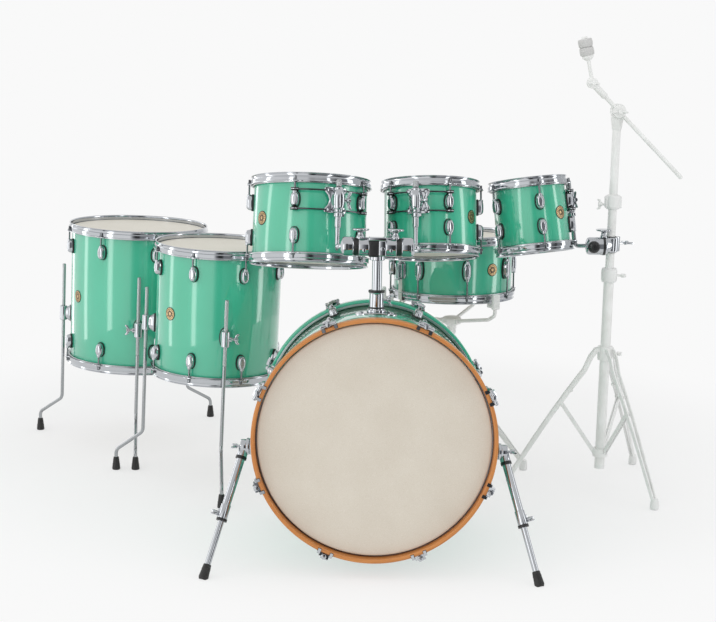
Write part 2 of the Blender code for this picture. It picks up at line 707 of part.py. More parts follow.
# Rack toms
def build_rack_tom(drum, bracket_angle, ball, side, parent):
    """A rack tom on its bracket, with the arm that leaves the holder's ball to one side."""
    tilt = joint(drum.name + "_tilt", ball, Vector((1.0, 0.0, 0.0)), parent)
    high = drum.lug_heights[0]
    barrel = drum.frame @ around(bracket_angle, drum.radius + BARREL_OUT, high)
    swivel = joint(drum.name + "_swivel", barrel.translation, barrel.to_3x3().col[2], tilt)
    drum_shell(drum, swivel)
    heads_and_hoops(drum, swivel)
    build_bracket(drum, bracket_angle, swivel)

    home = Matrix.Translation(ball)
    top = barrel @ Vector((0, 0, ARM_ABOVE))
    corner = barrel @ Vector((0, 0, -ARM_DROP))
    beside = ball + Vector((side * ARM_LEAVE, 0.0, 0.0))
    path = [point - ball for point in rounded([ball, beside, corner, top], ARM_BEND)]
    arm = tube(drum.name + "_arm", path, ARM_RADIUS, 2, PARTS)
    add(arm, Solid().ball(BALL_RADIUS, Matrix.Rotation(math.pi / 2, 4, "Y")).make("ball"))
    dress(attach(arm, home, tilt), "arm")


def build_bracket(drum, angle, parent):
    """A suspension bracket: a barrel and plate on two bars held at two neighbouring lugs."""
    high = drum.lug_heights[0]
    out = drum.radius + ROD_OUT
    after = min(a for a in (x + t for x in drum.angles for t in (-math.tau, 0, math.tau)) if a > angle)
    before = after - math.tau / len(drum.angles)
    barrel = Solid().cylinder(BARREL_RADIUS, BARREL_HEIGHT,
                              around(angle, drum.radius + BARREL_OUT, high), 10)
    piece = barrel.make(drum.name + "_bracket", PARTS)
    web_start, web_end = BRACKET_PLATE_OUT, BARREL_OUT
    web = Solid().box((BRACKET_WEB[0], web_end - web_start, BRACKET_WEB[1]),
                      around(angle, drum.radius + (web_start + web_end) / 2, high))
    add(piece, web.make("web"))
    plate = around(angle, drum.radius + BRACKET_PLATE_OUT, high)
    add(piece, Solid().box(BRACKET_PLATE, plate).make("plate"))
    grommets, holes = Solid(), Solid()
    reach = drum.lug_half + GAP + GROMMET_HEIGHT / 2
    for side in (-1, 1):
        height = high + side * reach
        arc = [around(before + (after - before) * i / BAR_STEPS, out, height).translation
               for i in range(BAR_STEPS + 1)]
        add(piece, tube("bar", arc, BAR_RADIUS, 0))
        for end in (before, after):
            grommets.cylinder(GROMMET_RADIUS, GROMMET_HEIGHT, around(end, out, height), 6)
    for end in (before, after):
        bore = around(end, out, high + reach)
        holes.cylinder(bore_radius(ROD_RADIUS, 6), 4 * GROMMET_HEIGHT, bore, 6)
    add(piece, grommets.make("grommets"))
    bore = around(angle, drum.radius + BARREL_OUT, high)
    holes.cylinder(bore_radius(ARM_RADIUS), 2 * BARREL_HEIGHT, bore, 12)
    cut(piece, holes.make("holes"))
    drum.seat(piece, "arm", parent)


# Floor toms
def build_floor_tom(drum, legs):
    """A floor tom whose three legs slide in brackets screwed to the shell."""
    centre = drum.frame.translation
    lift = joint(drum.name + "_lift", centre, Vector((0.0, 0.0, 1.0)))
    axis = drum.frame.to_3x3().col[2]
    bracket_height = LEG_BRACKET_UP - drum.half
    brackets, bores = Solid(), Solid()
    width, depth, tall = LEG_BRACKET
    for _, angle, _, _ in legs:
        brackets.box((width, depth + LUG_FOOT, tall),
                     around(angle, drum.radius + (depth - LUG_FOOT) / 2, bracket_height))
        bores.cylinder(bore_radius(LEG_RADIUS, 8), 2 * tall,
                       around(angle, drum.radius + LEG_OUT, bracket_height))
    drum_shell(drum, lift, brackets, bores)
    heads_and_hoops(drum, lift)
    for word, angle, foot_out, foot_angle in legs:
        grip = drum.frame @ around(angle, drum.radius + LEG_OUT, bracket_height).translation
        slide = joint("{}_leg_{}".format(drum.name, word), grip, axis, lift)
        home = around(foot_angle, foot_out, 0.0).translation + Vector((centre.x, centre.y, 0.0))
        rod = [grip + axis * ((height - grip.z) / axis.z) - home for height in (LEG_TOP, LEG_KNEE)]
        path = rod + [Vector((0, 0, LEG_ANKLE)), Vector((0, 0, LEG_FOOT_LENGTH / 2))]
        leg = tube("{}_leg_{}".format(drum.name, word), rounded(path, LEG_BEND), LEG_RADIUS, 1, PARTS)
        middle = Matrix.Translation((0, 0, LEG_FOOT_LENGTH / 2))
        shoe = Solid().cylinder(LEG_FOOT_RADIUS, LEG_FOOT_LENGTH, middle, 8, LEG_FOOT_RADIUS * FOOT_TAPER)
        add(leg, shoe.make("shoe"))
        dress(attach(leg, Matrix.Translation(home), slide), "leg")


# Snare drum
def build_snare(drum, parent):
    lift = joint("snare_lift", drum.frame.translation, drum.frame.to_3x3().col[2], parent)
    width, depth, tall = STRAINER
    blocks = Solid()
    out = drum.radius + (depth - LUG_FOOT) / 2
    for angle in (STRAINER_ANGLE, STRAINER_ANGLE + math.pi):
        blocks.box((width, depth + LUG_FOOT, tall), around(angle, out, -STRAINER_DROP))
    drum_shell(drum, lift, blocks)
    heads_and_hoops(drum, lift)

    lever_width, lever_depth, lever_tall = LEVER
    foot = around(STRAINER_ANGLE, drum.radius + depth + GAP + lever_depth / 2,
                  -STRAINER_DROP - tall / 2)
    hinge = drum.frame @ foot
    throw = joint("snare_throw", hinge.translation, hinge.to_3x3().col[0], lift)
    lever = Solid().box((lever_width, lever_depth, lever_tall), Matrix.Translation((0, 0, lever_tall / 2)))
    dress(attach(lever.make("snare_throw_lever", PARTS), hinge, throw), "arm")

    length, width, thick = WIRES
    under = -(drum.half + GAP + HEAD_FILM + GAP + thick / 2)
    turn = Matrix.Rotation(STRAINER_ANGLE + math.pi / 2, 4, "Z")
    wires = Solid().box((length, width, thick), turn @ Matrix.Translation((0, 0, under)))
    drum.seat(wires.make("snare_wires", PARTS), "hoop", lift)


# Tripod stands
def tripod(name, home, tube_radius, bore, tube_top, collar, crown, hub, foot_out, first_leg):
    """A tripod base: a tube with a bore, three double-railed legs and their braces."""
    base = Solid().cylinder(tube_radius, tube_top - TUBE_LOW,
                            Matrix.Translation((0, 0, (tube_top + TUBE_LOW) / 2)), 12)
    base = base.make(name + "_base", PARTS)
    collars = Solid()
    rows = ((crown, CROWN_HEIGHT), (hub, BRACE_COLLAR_HEIGHT), (tube_top - collar / 2, collar))
    for height, tall in rows:
        collars.cylinder(tube_radius + COLLAR_WALL, tall, Matrix.Translation((0, 0, height)), 12)
    add(base, collars.make("collars"))
    rails, braces, feet = Solid(), Solid(), Solid()
    foot = Vector((0, -foot_out, RAIL_FOOT_HEIGHT))
    head = Vector((0, -tube_radius - RAIL_HEAD_OUT, crown))
    meet = head.lerp(foot, (head.z - BRACE_MEET * hub) / (head.z - foot.z))
    for angle in spread(3, first_leg):
        for side in (-1, 1):
            shift = Vector((side * RAIL_SPREAD, 0, 0))
            rails.box(*strut(head + shift, foot + shift * RAIL_FOOT_SHARE, RAIL, angle))
        braces.box(*strut(Vector((0, -tube_radius, hub)), meet, BRACE, angle))
        place = around(angle, foot_out, STAND_FOOT_HEIGHT / 2)
        feet.cylinder(STAND_FOOT_RADIUS, STAND_FOOT_HEIGHT, place, 8, STAND_FOOT_RADIUS * FOOT_TAPER)
    for group in (rails, braces, feet):
        add(base, group.make("legs"))
    middle = Matrix.Translation((0, 0, tube_top / 2 + TUBE_LOW + TUBE_FLOOR))
    cut(base, Solid().cylinder(bore_radius(bore), tube_top, middle, 12).make("bore"))
    lift = joint(name + "_lift", home, Vector((0, 0, 1)))
    dress(attach(base, Matrix.Translation(home), lift), "stand")
    return lift


def strut(start, end, section, angle):
    """Size and frame of a flat bar between two points, turned round the stand's axis."""
    run = end - start
    place = Matrix.Translation((start + end) / 2) @ run.to_track_quat("Z", "Y").to_matrix().to_4x4()
    wide, thick = section
    return (thick, wide, run.length), Matrix.Rotation(angle, 4, "Z") @ place


def build_snare_stand(drum):
    """A tripod and a three-armed basket, whose tips hold the snare drum's lower hoop."""
    rim = -(drum.half + RIM_ABOVE_SHELL)
    hub = drum.frame @ Vector((0.0, 0.0, rim - BASKET_HUB_DROP))
    home = Vector((hub.x, hub.y, 0.0))
    lift = tripod("snare_stand", home, SNARE_TUBE_RADIUS, SNARE_POST_RADIUS, SNARE_TUBE_TOP, SNARE_COLLAR,
                  SNARE_CROWN, SNARE_BRACE_COLLAR, SNARE_FOOT_OUT, SNARE_FIRST_LEG)
    slide = joint("basket_height", home + Vector((0, 0, SNARE_TUBE_TOP)), Vector((0, 0, 1)), lift)
    low = SNARE_TUBE_TOP - SNARE_POST_INSERT
    middle = Matrix.Translation((0, 0, (hub.z + low) / 2))
    post = Solid().cylinder(SNARE_POST_RADIUS, hub.z - low, middle, 10).make("snare_stand_basket", PARTS)
    centre = Matrix.Translation((0, 0, hub.z))
    add(post, Solid().cylinder(BASKET_HUB_RADIUS, BASKET_HUB_HEIGHT, centre, 12).make("hub"))

    held = Matrix.Translation(-home) @ drum.frame
    out = drum.radius + HOOP_INSET + HOOP_FLANGE_WIDTH + BASKET_ARM_OUT
    wide, thick, tall = BASKET_TIP
    tip_out = out + BASKET_TIP_SHIFT
    inner = tip_out + thick / 2 - BASKET_LEDGE_REACH
    tips = Solid()
    for angle in spread(3, BASKET_ANGLE):
        bend = rim - BASKET_LEDGE - BASKET_ARM_RISE
        path = [held @ around(angle, *spot).translation for spot in (
            (BASKET_ARM_START, rim - BASKET_HUB_DROP), (out, bend), (out, rim - BASKET_LEDGE))]
        add(post, tube("basket_arm", rounded(path, BASKET_ARM_BEND), BASKET_ARM_RADIUS))
        middle = rim - BASKET_LEDGE - BASKET_TIP_OVERLAP + tall / 2
        tips.box((wide, thick, tall), held @ around(angle, tip_out, middle))
        tips.box((wide, BASKET_LEDGE_REACH, BASKET_LEDGE - GAP),
                 held @ around(angle, inner + BASKET_LEDGE_REACH / 2, rim - (BASKET_LEDGE + GAP) / 2))
    add(post, tips.make("tips"))
    post.modifiers[-1].use_self = True
    dress(attach(post, Matrix.Translation(home), slide), "stand")
    return slide


def build_boom_stand():
    home = on_floor(BOOM_STAND_PLACE)
    lift = tripod("boom_stand", home, BOOM_TUBE_RADIUS, BOOM_POST_RADIUS, BOOM_TUBE_TOP + BOOM_CLAMP / 2,
                  BOOM_CLAMP, BOOM_CROWN, BOOM_BRACE_COLLAR, BOOM_FOOT_OUT, BOOM_FIRST_LEG)
    slide = joint("boom_stand_height", home + Vector((0, 0, BOOM_TUBE_TOP)), Vector((0, 0, 1)), lift)
    low = BOOM_TUBE_TOP - BOOM_POST_INSERT
    middle = Matrix.Translation((0, 0, (BOOM_STEP_HEIGHT + low) / 2))
    post = Solid().cylinder(BOOM_POST_RADIUS, BOOM_STEP_HEIGHT - low, middle, 12)
    post = post.make("boom_stand_tube", PARTS)
    middle = Matrix.Translation((0, 0, (BOOM_PIVOT_HEIGHT + BOOM_STEP_HEIGHT) / 2))
    thin = Solid().cylinder(BOOM_THIN_RADIUS, BOOM_PIVOT_HEIGHT - BOOM_STEP_HEIGHT, middle, 10)
    add(post, thin.make("thin"))
    add(post, Solid().cylinder(BOOM_POST_RADIUS + COLLAR_WALL, BOOM_CLAMP,
                               Matrix.Translation((0, 0, BOOM_STEP_HEIGHT)), 12).make("clamp"))
    across = Matrix.Rotation(math.pi / 2, 4, "X")
    front = BOOM_OFFSET - BOOM_RADIUS - BOOM_HUB_WALL - GAP
    middle = Matrix.Translation((0, (BOOM_BOSS_BACK - front) / 2, BOOM_PIVOT_HEIGHT)) @ across
    add(post, Solid().cylinder(BOOM_BOSS_RADIUS, front + BOOM_BOSS_BACK, middle, 12).make("boss"))
    dress(attach(post, Matrix.Translation(home), slide), "stand")

    pivot = home + Vector((0, -BOOM_OFFSET, BOOM_PIVOT_HEIGHT))
    tilt = joint("boom_tilt", pivot, Vector((0, 1, 0)), slide)
    tail = Vector((math.cos(BOOM_ANGLE), 0, -math.sin(BOOM_ANGLE)))
    nose = -tail * BOOM_NOSE
    arm = tube("boom_arm", [nose, tail * BOOM_TAIL], BOOM_RADIUS, 2, PARTS)
    add(arm, Solid().cylinder(BOOM_HUB_RADIUS, 2 * (BOOM_RADIUS + BOOM_HUB_WALL), across, 12).make("hub"))
    tilter = Solid().cylinder(TILTER_RADIUS, TILTER_LENGTH, Matrix.Translation(nose) @ across, 10)
    add(arm, tilter.make("tilter"))
    seat = Matrix.Translation(nose) @ Matrix.Rotation(SLEEVE_LEAN, 4, "Y")
    rod = seat @ Matrix.Translation((0, 0, SLEEVE_RISE / 2))
    add(arm, Solid().cylinder(SLEEVE_RADIUS, SLEEVE_RISE, rod, 8).make("sleeve"))
    felt = seat @ Matrix.Translation((0, 0, SLEEVE_RISE - FELT_HEIGHT / 2 - SLEEVE_END))
    add(arm, Solid().cylinder(FELT_RADIUS, FELT_HEIGHT, felt, 12).make("felt"))
    dress(attach(arm, Matrix.Translation(pivot), tilt), "stand")
    return slide


def build_clamp(parent):
    """The multi-clamp that grips the boom stand's post and holds the small tom's ball."""
    ring_place = on_floor(BOOM_STAND_PLACE, CLAMP_HEIGHT)
    ball = on_floor(CLAMP_BALL, CLAMP_HEIGHT)
    turn = joint("tom8_clamp_turn", ring_place, Vector((0, 0, 1)), parent)
    ring = BOOM_POST_RADIUS + COLLAR_WALL
    clamp = Solid().cylinder(ring, CLAMP_DEPTH, Matrix(), 12).make("tom8_clamp", PARTS)
    reach = ball - ring_place
    end = reach.length - BALL_OUT
    aim = facing((0, 0, 0), reach)
    start = BOOM_POST_RADIUS + CLAMP_BARREL_START
    middle = aim @ Matrix.Translation((0, 0, (end + start) / 2))
    add(clamp, Solid().cylinder(CLAMP_BARREL_RADIUS, end - start, middle, 12).make("barrel"))
    rise = CLAMP_BARREL_RADIUS + T_KNOB_RISE / 2 - HOLDER_OVERLAP
    knob = Matrix.Translation(reach.normalized() * (end + start) / 2 + Vector((0, 0, rise)))
    add(clamp, Solid().cylinder(T_KNOB_STEM, T_KNOB_RISE, knob, 8, T_KNOB_RADIUS).make("knob"))
    back = Matrix.Translation((0, 0, CLAMP_BOLT_OVERLAP - ring - CLAMP_BOLT / 2))
    bolt = Solid().cylinder(CLAMP_BOLT_RADIUS, CLAMP_BOLT, aim @ back, 8)
    add(clamp, bolt.make("bolt"))
    holes = Solid().cylinder(bore_radius(BOOM_POST_RADIUS), 2 * CLAMP_DEPTH, Matrix(), 12)
    holes.ball(BALL_SEAT, Matrix.Translation(reach) @ Matrix.Rotation(math.pi / 2, 4, "Y"))
    cut(clamp, holes.make("holes"))
    dress(attach(clamp, Matrix.Translation(ring_place), turn), "arm")
    return turn, ball


# The kit, put together
def floor_legs(brackets, outs, feet):
    """Each leg's name, bracket angle, foot distance and foot angle, from degrees."""
    return [(word, math.radians(angle), out, math.radians(foot))
            for word, angle, out, foot in zip(LEG_NAMES, brackets, outs, feet)]


def build_kit():
    build_bass()
    build_spur(-1, "left")
    build_spur(1, "right")
    post, balls = build_post()

    tom12 = Drum("tom12", 12, 8, TOM_STEPS, 5, -12.7, leaning(TOM12_PLACE, TOM12_LEAN))
    build_rack_tom(tom12, math.radians(25.5), balls[-1], -1, post)
    tom10 = Drum("tom10", 10, 7, TOM_STEPS, 5, 19.6, leaning(TOM10_PLACE, TOM10_LEAN))
    build_rack_tom(tom10, math.radians(-17), balls[1], 1, post)
    boom = build_boom_stand()
    clamp, ball = build_clamp(boom)
    tom8 = Drum("tom8", 8, 7, TOM_STEPS, 5, 9.4, leaning(TOM8_PLACE, TOM8_LEAN))
    build_rack_tom(tom8, math.radians(113), ball, -1, clamp)

    floor14 = Drum("floor14", 14, 14, WIDE_STEPS, 8, -17.9, leaning(FLOOR14_PLACE, FLOOR14_LEAN))
    build_floor_tom(floor14, floor_legs(FLOOR14_BRACKET_ANGLES, FLOOR14_FEET_OUT, FLOOR14_FOOT_ANGLES))
    floor16 = Drum("floor16", 16, 16, WIDE_STEPS, 8, -22.9, leaning(FLOOR16_PLACE, FLOOR16_LEAN))
    build_floor_tom(floor16, floor_legs(FLOOR16_BRACKET_ANGLES, FLOOR16_FEET_OUT, FLOOR16_FOOT_ANGLES))

    snare = Drum("snare", 14, 6.5, WIDE_STEPS, 8, 9.7, leaning(SNARE_PLACE, SNARE_LEAN), rows=1)
    basket = build_snare_stand(snare)
    build_snare(snare, basket)


build_kit()
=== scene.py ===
import json
import math

import bmesh
import bpy
from mathutils import Matrix, Vector

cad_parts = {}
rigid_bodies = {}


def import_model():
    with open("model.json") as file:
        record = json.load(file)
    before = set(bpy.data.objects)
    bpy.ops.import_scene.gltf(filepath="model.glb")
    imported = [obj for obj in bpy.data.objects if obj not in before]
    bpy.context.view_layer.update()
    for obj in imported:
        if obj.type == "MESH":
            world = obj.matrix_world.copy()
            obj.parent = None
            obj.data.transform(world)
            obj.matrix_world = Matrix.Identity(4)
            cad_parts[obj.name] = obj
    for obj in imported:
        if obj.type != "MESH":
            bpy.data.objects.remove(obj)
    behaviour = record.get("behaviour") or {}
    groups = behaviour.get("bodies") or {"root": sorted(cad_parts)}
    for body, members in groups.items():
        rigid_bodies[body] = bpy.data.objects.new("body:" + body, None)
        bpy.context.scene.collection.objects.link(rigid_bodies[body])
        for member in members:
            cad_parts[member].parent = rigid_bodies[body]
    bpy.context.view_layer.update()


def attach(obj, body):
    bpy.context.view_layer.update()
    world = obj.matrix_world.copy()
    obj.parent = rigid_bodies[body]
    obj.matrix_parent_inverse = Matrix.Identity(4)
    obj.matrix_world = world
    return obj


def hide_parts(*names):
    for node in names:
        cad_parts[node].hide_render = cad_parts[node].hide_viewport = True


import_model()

scene = bpy.context.scene
for left_over in [item for item in bpy.data.objects if item.name in {"Cube", "Light", "Camera"}]:
    bpy.data.objects.remove(left_over)


# Bass drum shell
# Thin maple plies glued up into a tube 22 inches across and 18 deep, sprayed in an opaque surf green and a
# clear gloss lacquer, with the bare wood showing inside. It lies on its side, its front end tipped up.
FRONT_HOOP_X = 0.1084
FRONT_HOOP_Y = -0.7231
QUARTER = math.pi / 2


def on_floor(x, y, height=0.0):
    """A place measured from the floor under the front hoop, in the shared frame."""
    return Vector((x + FRONT_HOOP_X, y + FRONT_HOOP_Y, height))


def spin(angle, axis):
    """A turn about X, Y or Z, as a frame."""
    return Matrix.Rotation(angle, 4, axis)


def linear(code, alpha=1.0):
    """An sRGB hex value as the linear colour that a shader takes."""
    parts = [int(code[i:i + 2], 16) / 255 for i in (1, 3, 5)]
    return (*[c / 12.92 if c <= 0.04045 else ((c + 0.055) / 1.055) ** 2.4 for c in parts], alpha)


def node(tree, kind, settings=None, **links):
    """Add a node; settings are its own values or its inputs', links the sockets that feed its inputs."""
    made = tree.nodes.new(kind)
    for key, value in (settings or {}).items():
        if isinstance(key, str) and hasattr(made, key) and key not in made.inputs:
            setattr(made, key, value)
        else:
            made.inputs[key].default_value = value
    for key, socket in links.items():
        place = int(key[1:]) if key[0] == "_" else key.replace("_", " ")
        tree.links.new(socket, made.inputs[place])
    return made


def new_material(name, source="ShaderNodeTexCoord", socket="Object"):
    """An empty material, its tree, and the coordinates that its patterns follow, in metres."""
    material = bpy.data.materials.new(name)
    material.use_nodes = True
    tree = material.node_tree
    tree.nodes.clear()
    return material, tree, node(tree, source).outputs[socket]


def finished(material, settings, **links):
    """The material, with one principled shader joined to its output."""
    shader = node(material.node_tree, "ShaderNodeBsdfPrincipled", settings, **links)
    node(material.node_tree, "ShaderNodeOutputMaterial", Surface=shader.outputs["BSDF"])
    return material


def ramp(tree, factor, *stops):
    """A colour ramp from (place, hex) stops."""
    made = node(tree, "ShaderNodeValToRGB", Fac=factor)
    steps = made.color_ramp.elements
    while len(steps) < len(stops):
        steps.new(0.5)
    for step, (place, code) in zip(steps, stops):
        step.position = place
        step.color = linear(code)
    return made.outputs["Color"]


def grains(tree, spot, size_mm, detail=2.0, roughness=0.5):
    """Noise whose lumps are about the given size, on the given coordinates in metres."""
    settings = {"Scale": 1000.0 / size_mm, "Detail": detail, "Roughness": roughness}
    return node(tree, "ShaderNodeTexNoise", settings, Vector=spot).outputs["Fac"]


def bump(tree, strength, distance, height):
    """A surface made uneven by a height map, whose full height is given in metres."""
    settings = {"Strength": strength, "Distance": distance}
    return node(tree, "ShaderNodeBump", settings, Height=height).outputs["Normal"]


def gloss_lacquer(name, pale, deep):
    """Nitro-style opaque lacquer, polished: a wet, even coat with a trace of orange peel 4 mm across."""
    material, tree, spot = new_material(name)
    colour = ramp(tree, grains(tree, spot, 180.0), (0.35, deep), (0.65, pale))
    peel = bump(tree, 0.02, 0.0004, grains(tree, spot, 4.0, 1.0))
    coat = {"Roughness": 0.32, "IOR": 1.5, "Coat Weight": 1.0, "Coat Roughness": 0.03, "Coat IOR": 1.8}
    return finished(material, coat, Base_Color=colour, Coat_Normal=peel)


def raw_maple(name):
    """Sanded maple plies, unfinished: pale, dull, with long fine grain round the tube."""
    material, tree, spot = new_material(name, "ShaderNodeUVMap", "UV")
    along = node(tree, "ShaderNodeMapping", {"Scale": (0.03, 1.0, 1.0)}, Vector=spot).outputs["Vector"]
    grain = grains(tree, along, 2.2, 5.0, 0.6)
    colour = ramp(tree, grain, (0.3, "#B98F5F"), (0.52, "#D5B183"), (0.75, "#E2C598"))
    relief = bump(tree, 0.25, 0.0003, grain)
    return finished(material, {"Roughness": 0.62, "IOR": 1.5}, Base_Color=colour, Normal=relief)


def eased(points, radius, steps=3):
    """A profile with its corners rounded by about the given radius, except the two ends of an open one."""
    out = []
    ends = (0, len(points) - 1) if points[0][0] == 0.0 else ()
    for i, corner in enumerate(points):
        if i in ends:
            out.append(tuple(corner))
            continue
        here = Vector(corner)
        back = Vector(points[i - 1]) - here
        on = Vector(points[(i + 1) % len(points)]) - here
        start = here + back.normalized() * min(radius, back.length * 0.45)
        end = here + on.normalized() * min(radius, on.length * 0.45)
        for k in range(steps + 1):
            t = k / steps
            out.append(tuple(start * (1 - t) ** 2 + here * (2 * t * (1 - t)) + end * t ** 2))
    return out


def turn(mesh, profile, place=Matrix(), steps=96, ease=0.0, edge=None):
    """Turn a profile of (radius, height) round Z. It is open if it starts on the axis, and closed if not.
    The UV map is metres round it and along the profile. ease rounds its corners by about that radius.
    edge gives a radius and height for each angle and point of the profile, for a rim that isn't round."""
    uv = mesh.loops.layers.uv.verify()
    on_axis = profile[0][0] == 0.0
    if ease:
        profile = eased(profile, ease)
    count = len(profile)
    run = [0.0]
    for a, b in zip(profile, list(profile[1:]) + [profile[0]]):
        run.append(run[-1] + math.dist(a, b))
    rings = []
    for i in range(steps):
        angle = math.tau * i / steps
        ring = []
        for k, (radius, height) in enumerate(profile):
            if edge:
                radius, height = edge(angle, k, radius, height)
            if on_axis and k in (0, count - 1) and i and profile[k][0] == 0.0:
                ring.append(rings[0][k])
            else:
                point = Vector((radius * math.sin(angle), -radius * math.cos(angle), height))
                ring.append(mesh.verts.new(place @ point))
        rings.append(ring)
    size = max(radius for radius, _ in profile)
    spans = count - 1 if on_axis else count
    for i in range(steps):
        here, after = rings[i], rings[(i + 1) % steps]
        for k in range(spans):
            n = (k + 1) % count
            corners = [(here[k], i, k), (after[k], i + 1, k), (after[n], i + 1, k + 1), (here[n], i, k + 1)]
            kept = []
            for corner in corners:
                if corner[0] not in [c[0] for c in kept]:
                    kept.append(corner)
            if len(kept) < 3:
                continue
            face = mesh.faces.new([c[0] for c in kept])
            for loop, (_, column, row) in zip(face.loops, kept):
                loop[uv].uv = (math.tau * size * column / steps, run[row])


def piece(name, mesh, finish, body, *stands_for, slot=None, sharp=32):
    """Close a mesh up as a finished piece that rides on a body, in place of the nodes that it stands for."""
    bmesh.ops.remove_doubles(mesh, verts=mesh.verts, dist=0.000002)
    bmesh.ops.recalc_face_normals(mesh, faces=mesh.faces)
    data = bpy.data.meshes.new(name)
    mesh.to_mesh(data)
    mesh.free()
    data.materials.append(finish)
    data.shade_smooth()
    data.set_sharp_from_angle(angle=math.radians(sharp))
    item = bpy.data.objects.new(name, data)
    scene.collection.objects.link(item)
    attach(item, body)
    if stands_for:
        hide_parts(*stands_for)
    return item


surf_green = gloss_lacquer("surf_green_gloss_lacquer", "#39B793", "#34B18C")
maple_ply = raw_maple("sanded_maple_ply")

BASS_RADIUS = 0.2794
BASS_HALF = 0.2286
BASS_WALL = 0.007
BASS_HOOP = 0.29474
BASS_REACH = 0.2526
BASS_TILT = math.radians(4.6)
BASS_HEIGHT = BASS_HOOP * math.cos(BASS_TILT) + BASS_REACH * math.sin(BASS_TILT)
bass_place = (Matrix.Translation(on_floor(0.0, BASS_REACH * math.cos(BASS_TILT), BASS_HEIGHT))
              @ spin(QUARTER - BASS_TILT, "X"))


def make_shell(name, radius, half, wall, place, body, node_name, steps):
    """The lacquered tube with its bearing edges, and the bare wood of its inside."""
    edge = 0.0025
    rim = radius - edge * 1.2
    outside = bmesh.new()
    turn(outside, [(rim, half), (radius - edge * 0.4, half - edge * 0.5), (radius, half - edge * 1.6),
                   (radius, -half + edge * 1.6), (radius - edge * 0.4, -half + edge * 0.5), (rim, -half),
                   (radius - wall * 0.6, -half + 0.001), (radius - wall * 0.6, half - 0.001)], place, steps)
    piece(name + "_shell_lacquer", outside, surf_green, body, node_name)
    inside = bmesh.new()
    turn(inside, [(rim, half - 0.0003), (radius - wall * 0.7, half - 0.0009), (radius - wall, half - 0.006),
                  (radius - wall, -half + 0.006), (radius - wall * 0.7, -half + 0.0009),
                  (rim, -half + 0.0003)], place, steps)
    piece(name + "_shell_plies", inside, maple_ply, body, slot=node_name)


make_shell("bass", BASS_RADIUS, BASS_HALF, BASS_WALL, bass_place, "bass_drum", "bass_shell", 160)


# Lugs of the bass drum
# Die-cast zinc, chromed: an oval dome on a thin black rubber gasket, with a nut collar that the tension rod
# screws into. Two rows of eight are screwed on through the shell, one row near each end.
def chrome(name, roughness=0.045, tone="#BFC2C6"):
    """Bright nickel-chrome plate, buffed: a clean mirror with the faintest haze of polishing."""
    material, tree, spot = new_material(name)
    haze = node(tree, "ShaderNodeMapRange", {"To Min": roughness * 0.6, "To Max": roughness * 1.5},
                Value=grains(tree, spot, 14.0, 3.0)).outputs["Result"]
    return finished(material, {"Base Color": linear(tone), "Metallic": 1.0}, Roughness=haze)


def black_rubber(name):
    """Moulded rubber, matt and slightly dusty, with a fine pebbled skin 0.8 mm across."""
    material, tree, spot = new_material(name)
    dust = ramp(tree, grains(tree, spot, 9.0, 3.0), (0.35, "#151515"), (0.75, "#232322"))
    skin = bump(tree, 0.25, 0.0002, grains(tree, spot, 0.8))
    return finished(material, {"Roughness": 0.48, "IOR": 1.52}, Base_Color=dust, Normal=skin)


def loft(mesh, rings, place=Matrix()):
    """Skin a row of rings that have the same number of points, and close both ends."""
    made = [[mesh.verts.new(place @ point) for point in ring] for ring in rings]
    count = len(made[0])
    for low, high in zip(made, made[1:]):
        for k in range(count):
            mesh.faces.new([low[k], low[(k + 1) % count], high[(k + 1) % count], high[k]])
    for end in (made[0], made[-1]):
        mesh.faces.new(end)


def oval_ring(half_width, half_height, out, lift=0.0, points=28, power=2.3):
    """An oval facing outwards, which is local -Y, at a distance out from the origin."""
    ring = []
    for i in range(points):
        angle = math.tau * i / points
        c, s = math.cos(angle), math.sin(angle)
        x = math.copysign(abs(c) ** (2 / power), c) * half_width
        z = math.copysign(abs(s) ** (2 / power), s) * half_height
        ring.append(Vector((x, -out, z + lift)))
    return ring


def shift(x, y, z):
    """A move, as a frame."""
    return Matrix.Translation((x, y, z))


def lug_shape(half_width, half_height, depth, rod_out, both_ends=False):
    """The chromed dome, a little flat on top, with the collar of its swivel nut."""
    mesh = bmesh.new()
    base = 0.0062
    rings = [oval_ring(half_width, half_height, 0.0042), oval_ring(half_width, half_height, base)]
    for angle in range(8, 89, 10):
        a = math.radians(angle)
        shrink = math.cos(a) ** 0.62
        rings.append(oval_ring(half_width * (0.16 + 0.82 * shrink), half_height * (0.2 + 0.78 * shrink),
                               base + (depth - base) * math.sin(a) ** 0.9))
    loft(mesh, rings)
    low = half_height * 0.25
    high = half_height + 0.0006
    collar = eased([(0.0, low), (0.0056, low), (0.0056, high), (0.0, high)], 0.0012)
    for end in (1, -1) if both_ends else (1,):
        turn(mesh, [(r, end * z) for r, z in collar], shift(0.0, -rod_out, 0.0), 18)
    return mesh


def gasket_shape(half_width, half_height):
    """The rubber gasket under a lug, a little wider all round."""
    mesh = bmesh.new()
    grow = 0.0018
    loft(mesh, [oval_ring(half_width + grow, half_height + grow, -0.0015),
                oval_ring(half_width + grow, half_height + grow, 0.004),
                oval_ring(half_width + grow * 0.6, half_height + grow * 0.6, 0.0048)])
    return mesh


def maths(tree, operation, *values):
    """The result of one maths node, whose values are numbers or sockets."""
    made = node(tree, "ShaderNodeMath", {"operation": operation})
    for place, value in enumerate(values):
        if isinstance(value, bpy.types.NodeSocket):
            tree.links.new(value, made.inputs[place])
        else:
            made.inputs[place].default_value = value
    return made.outputs[0]


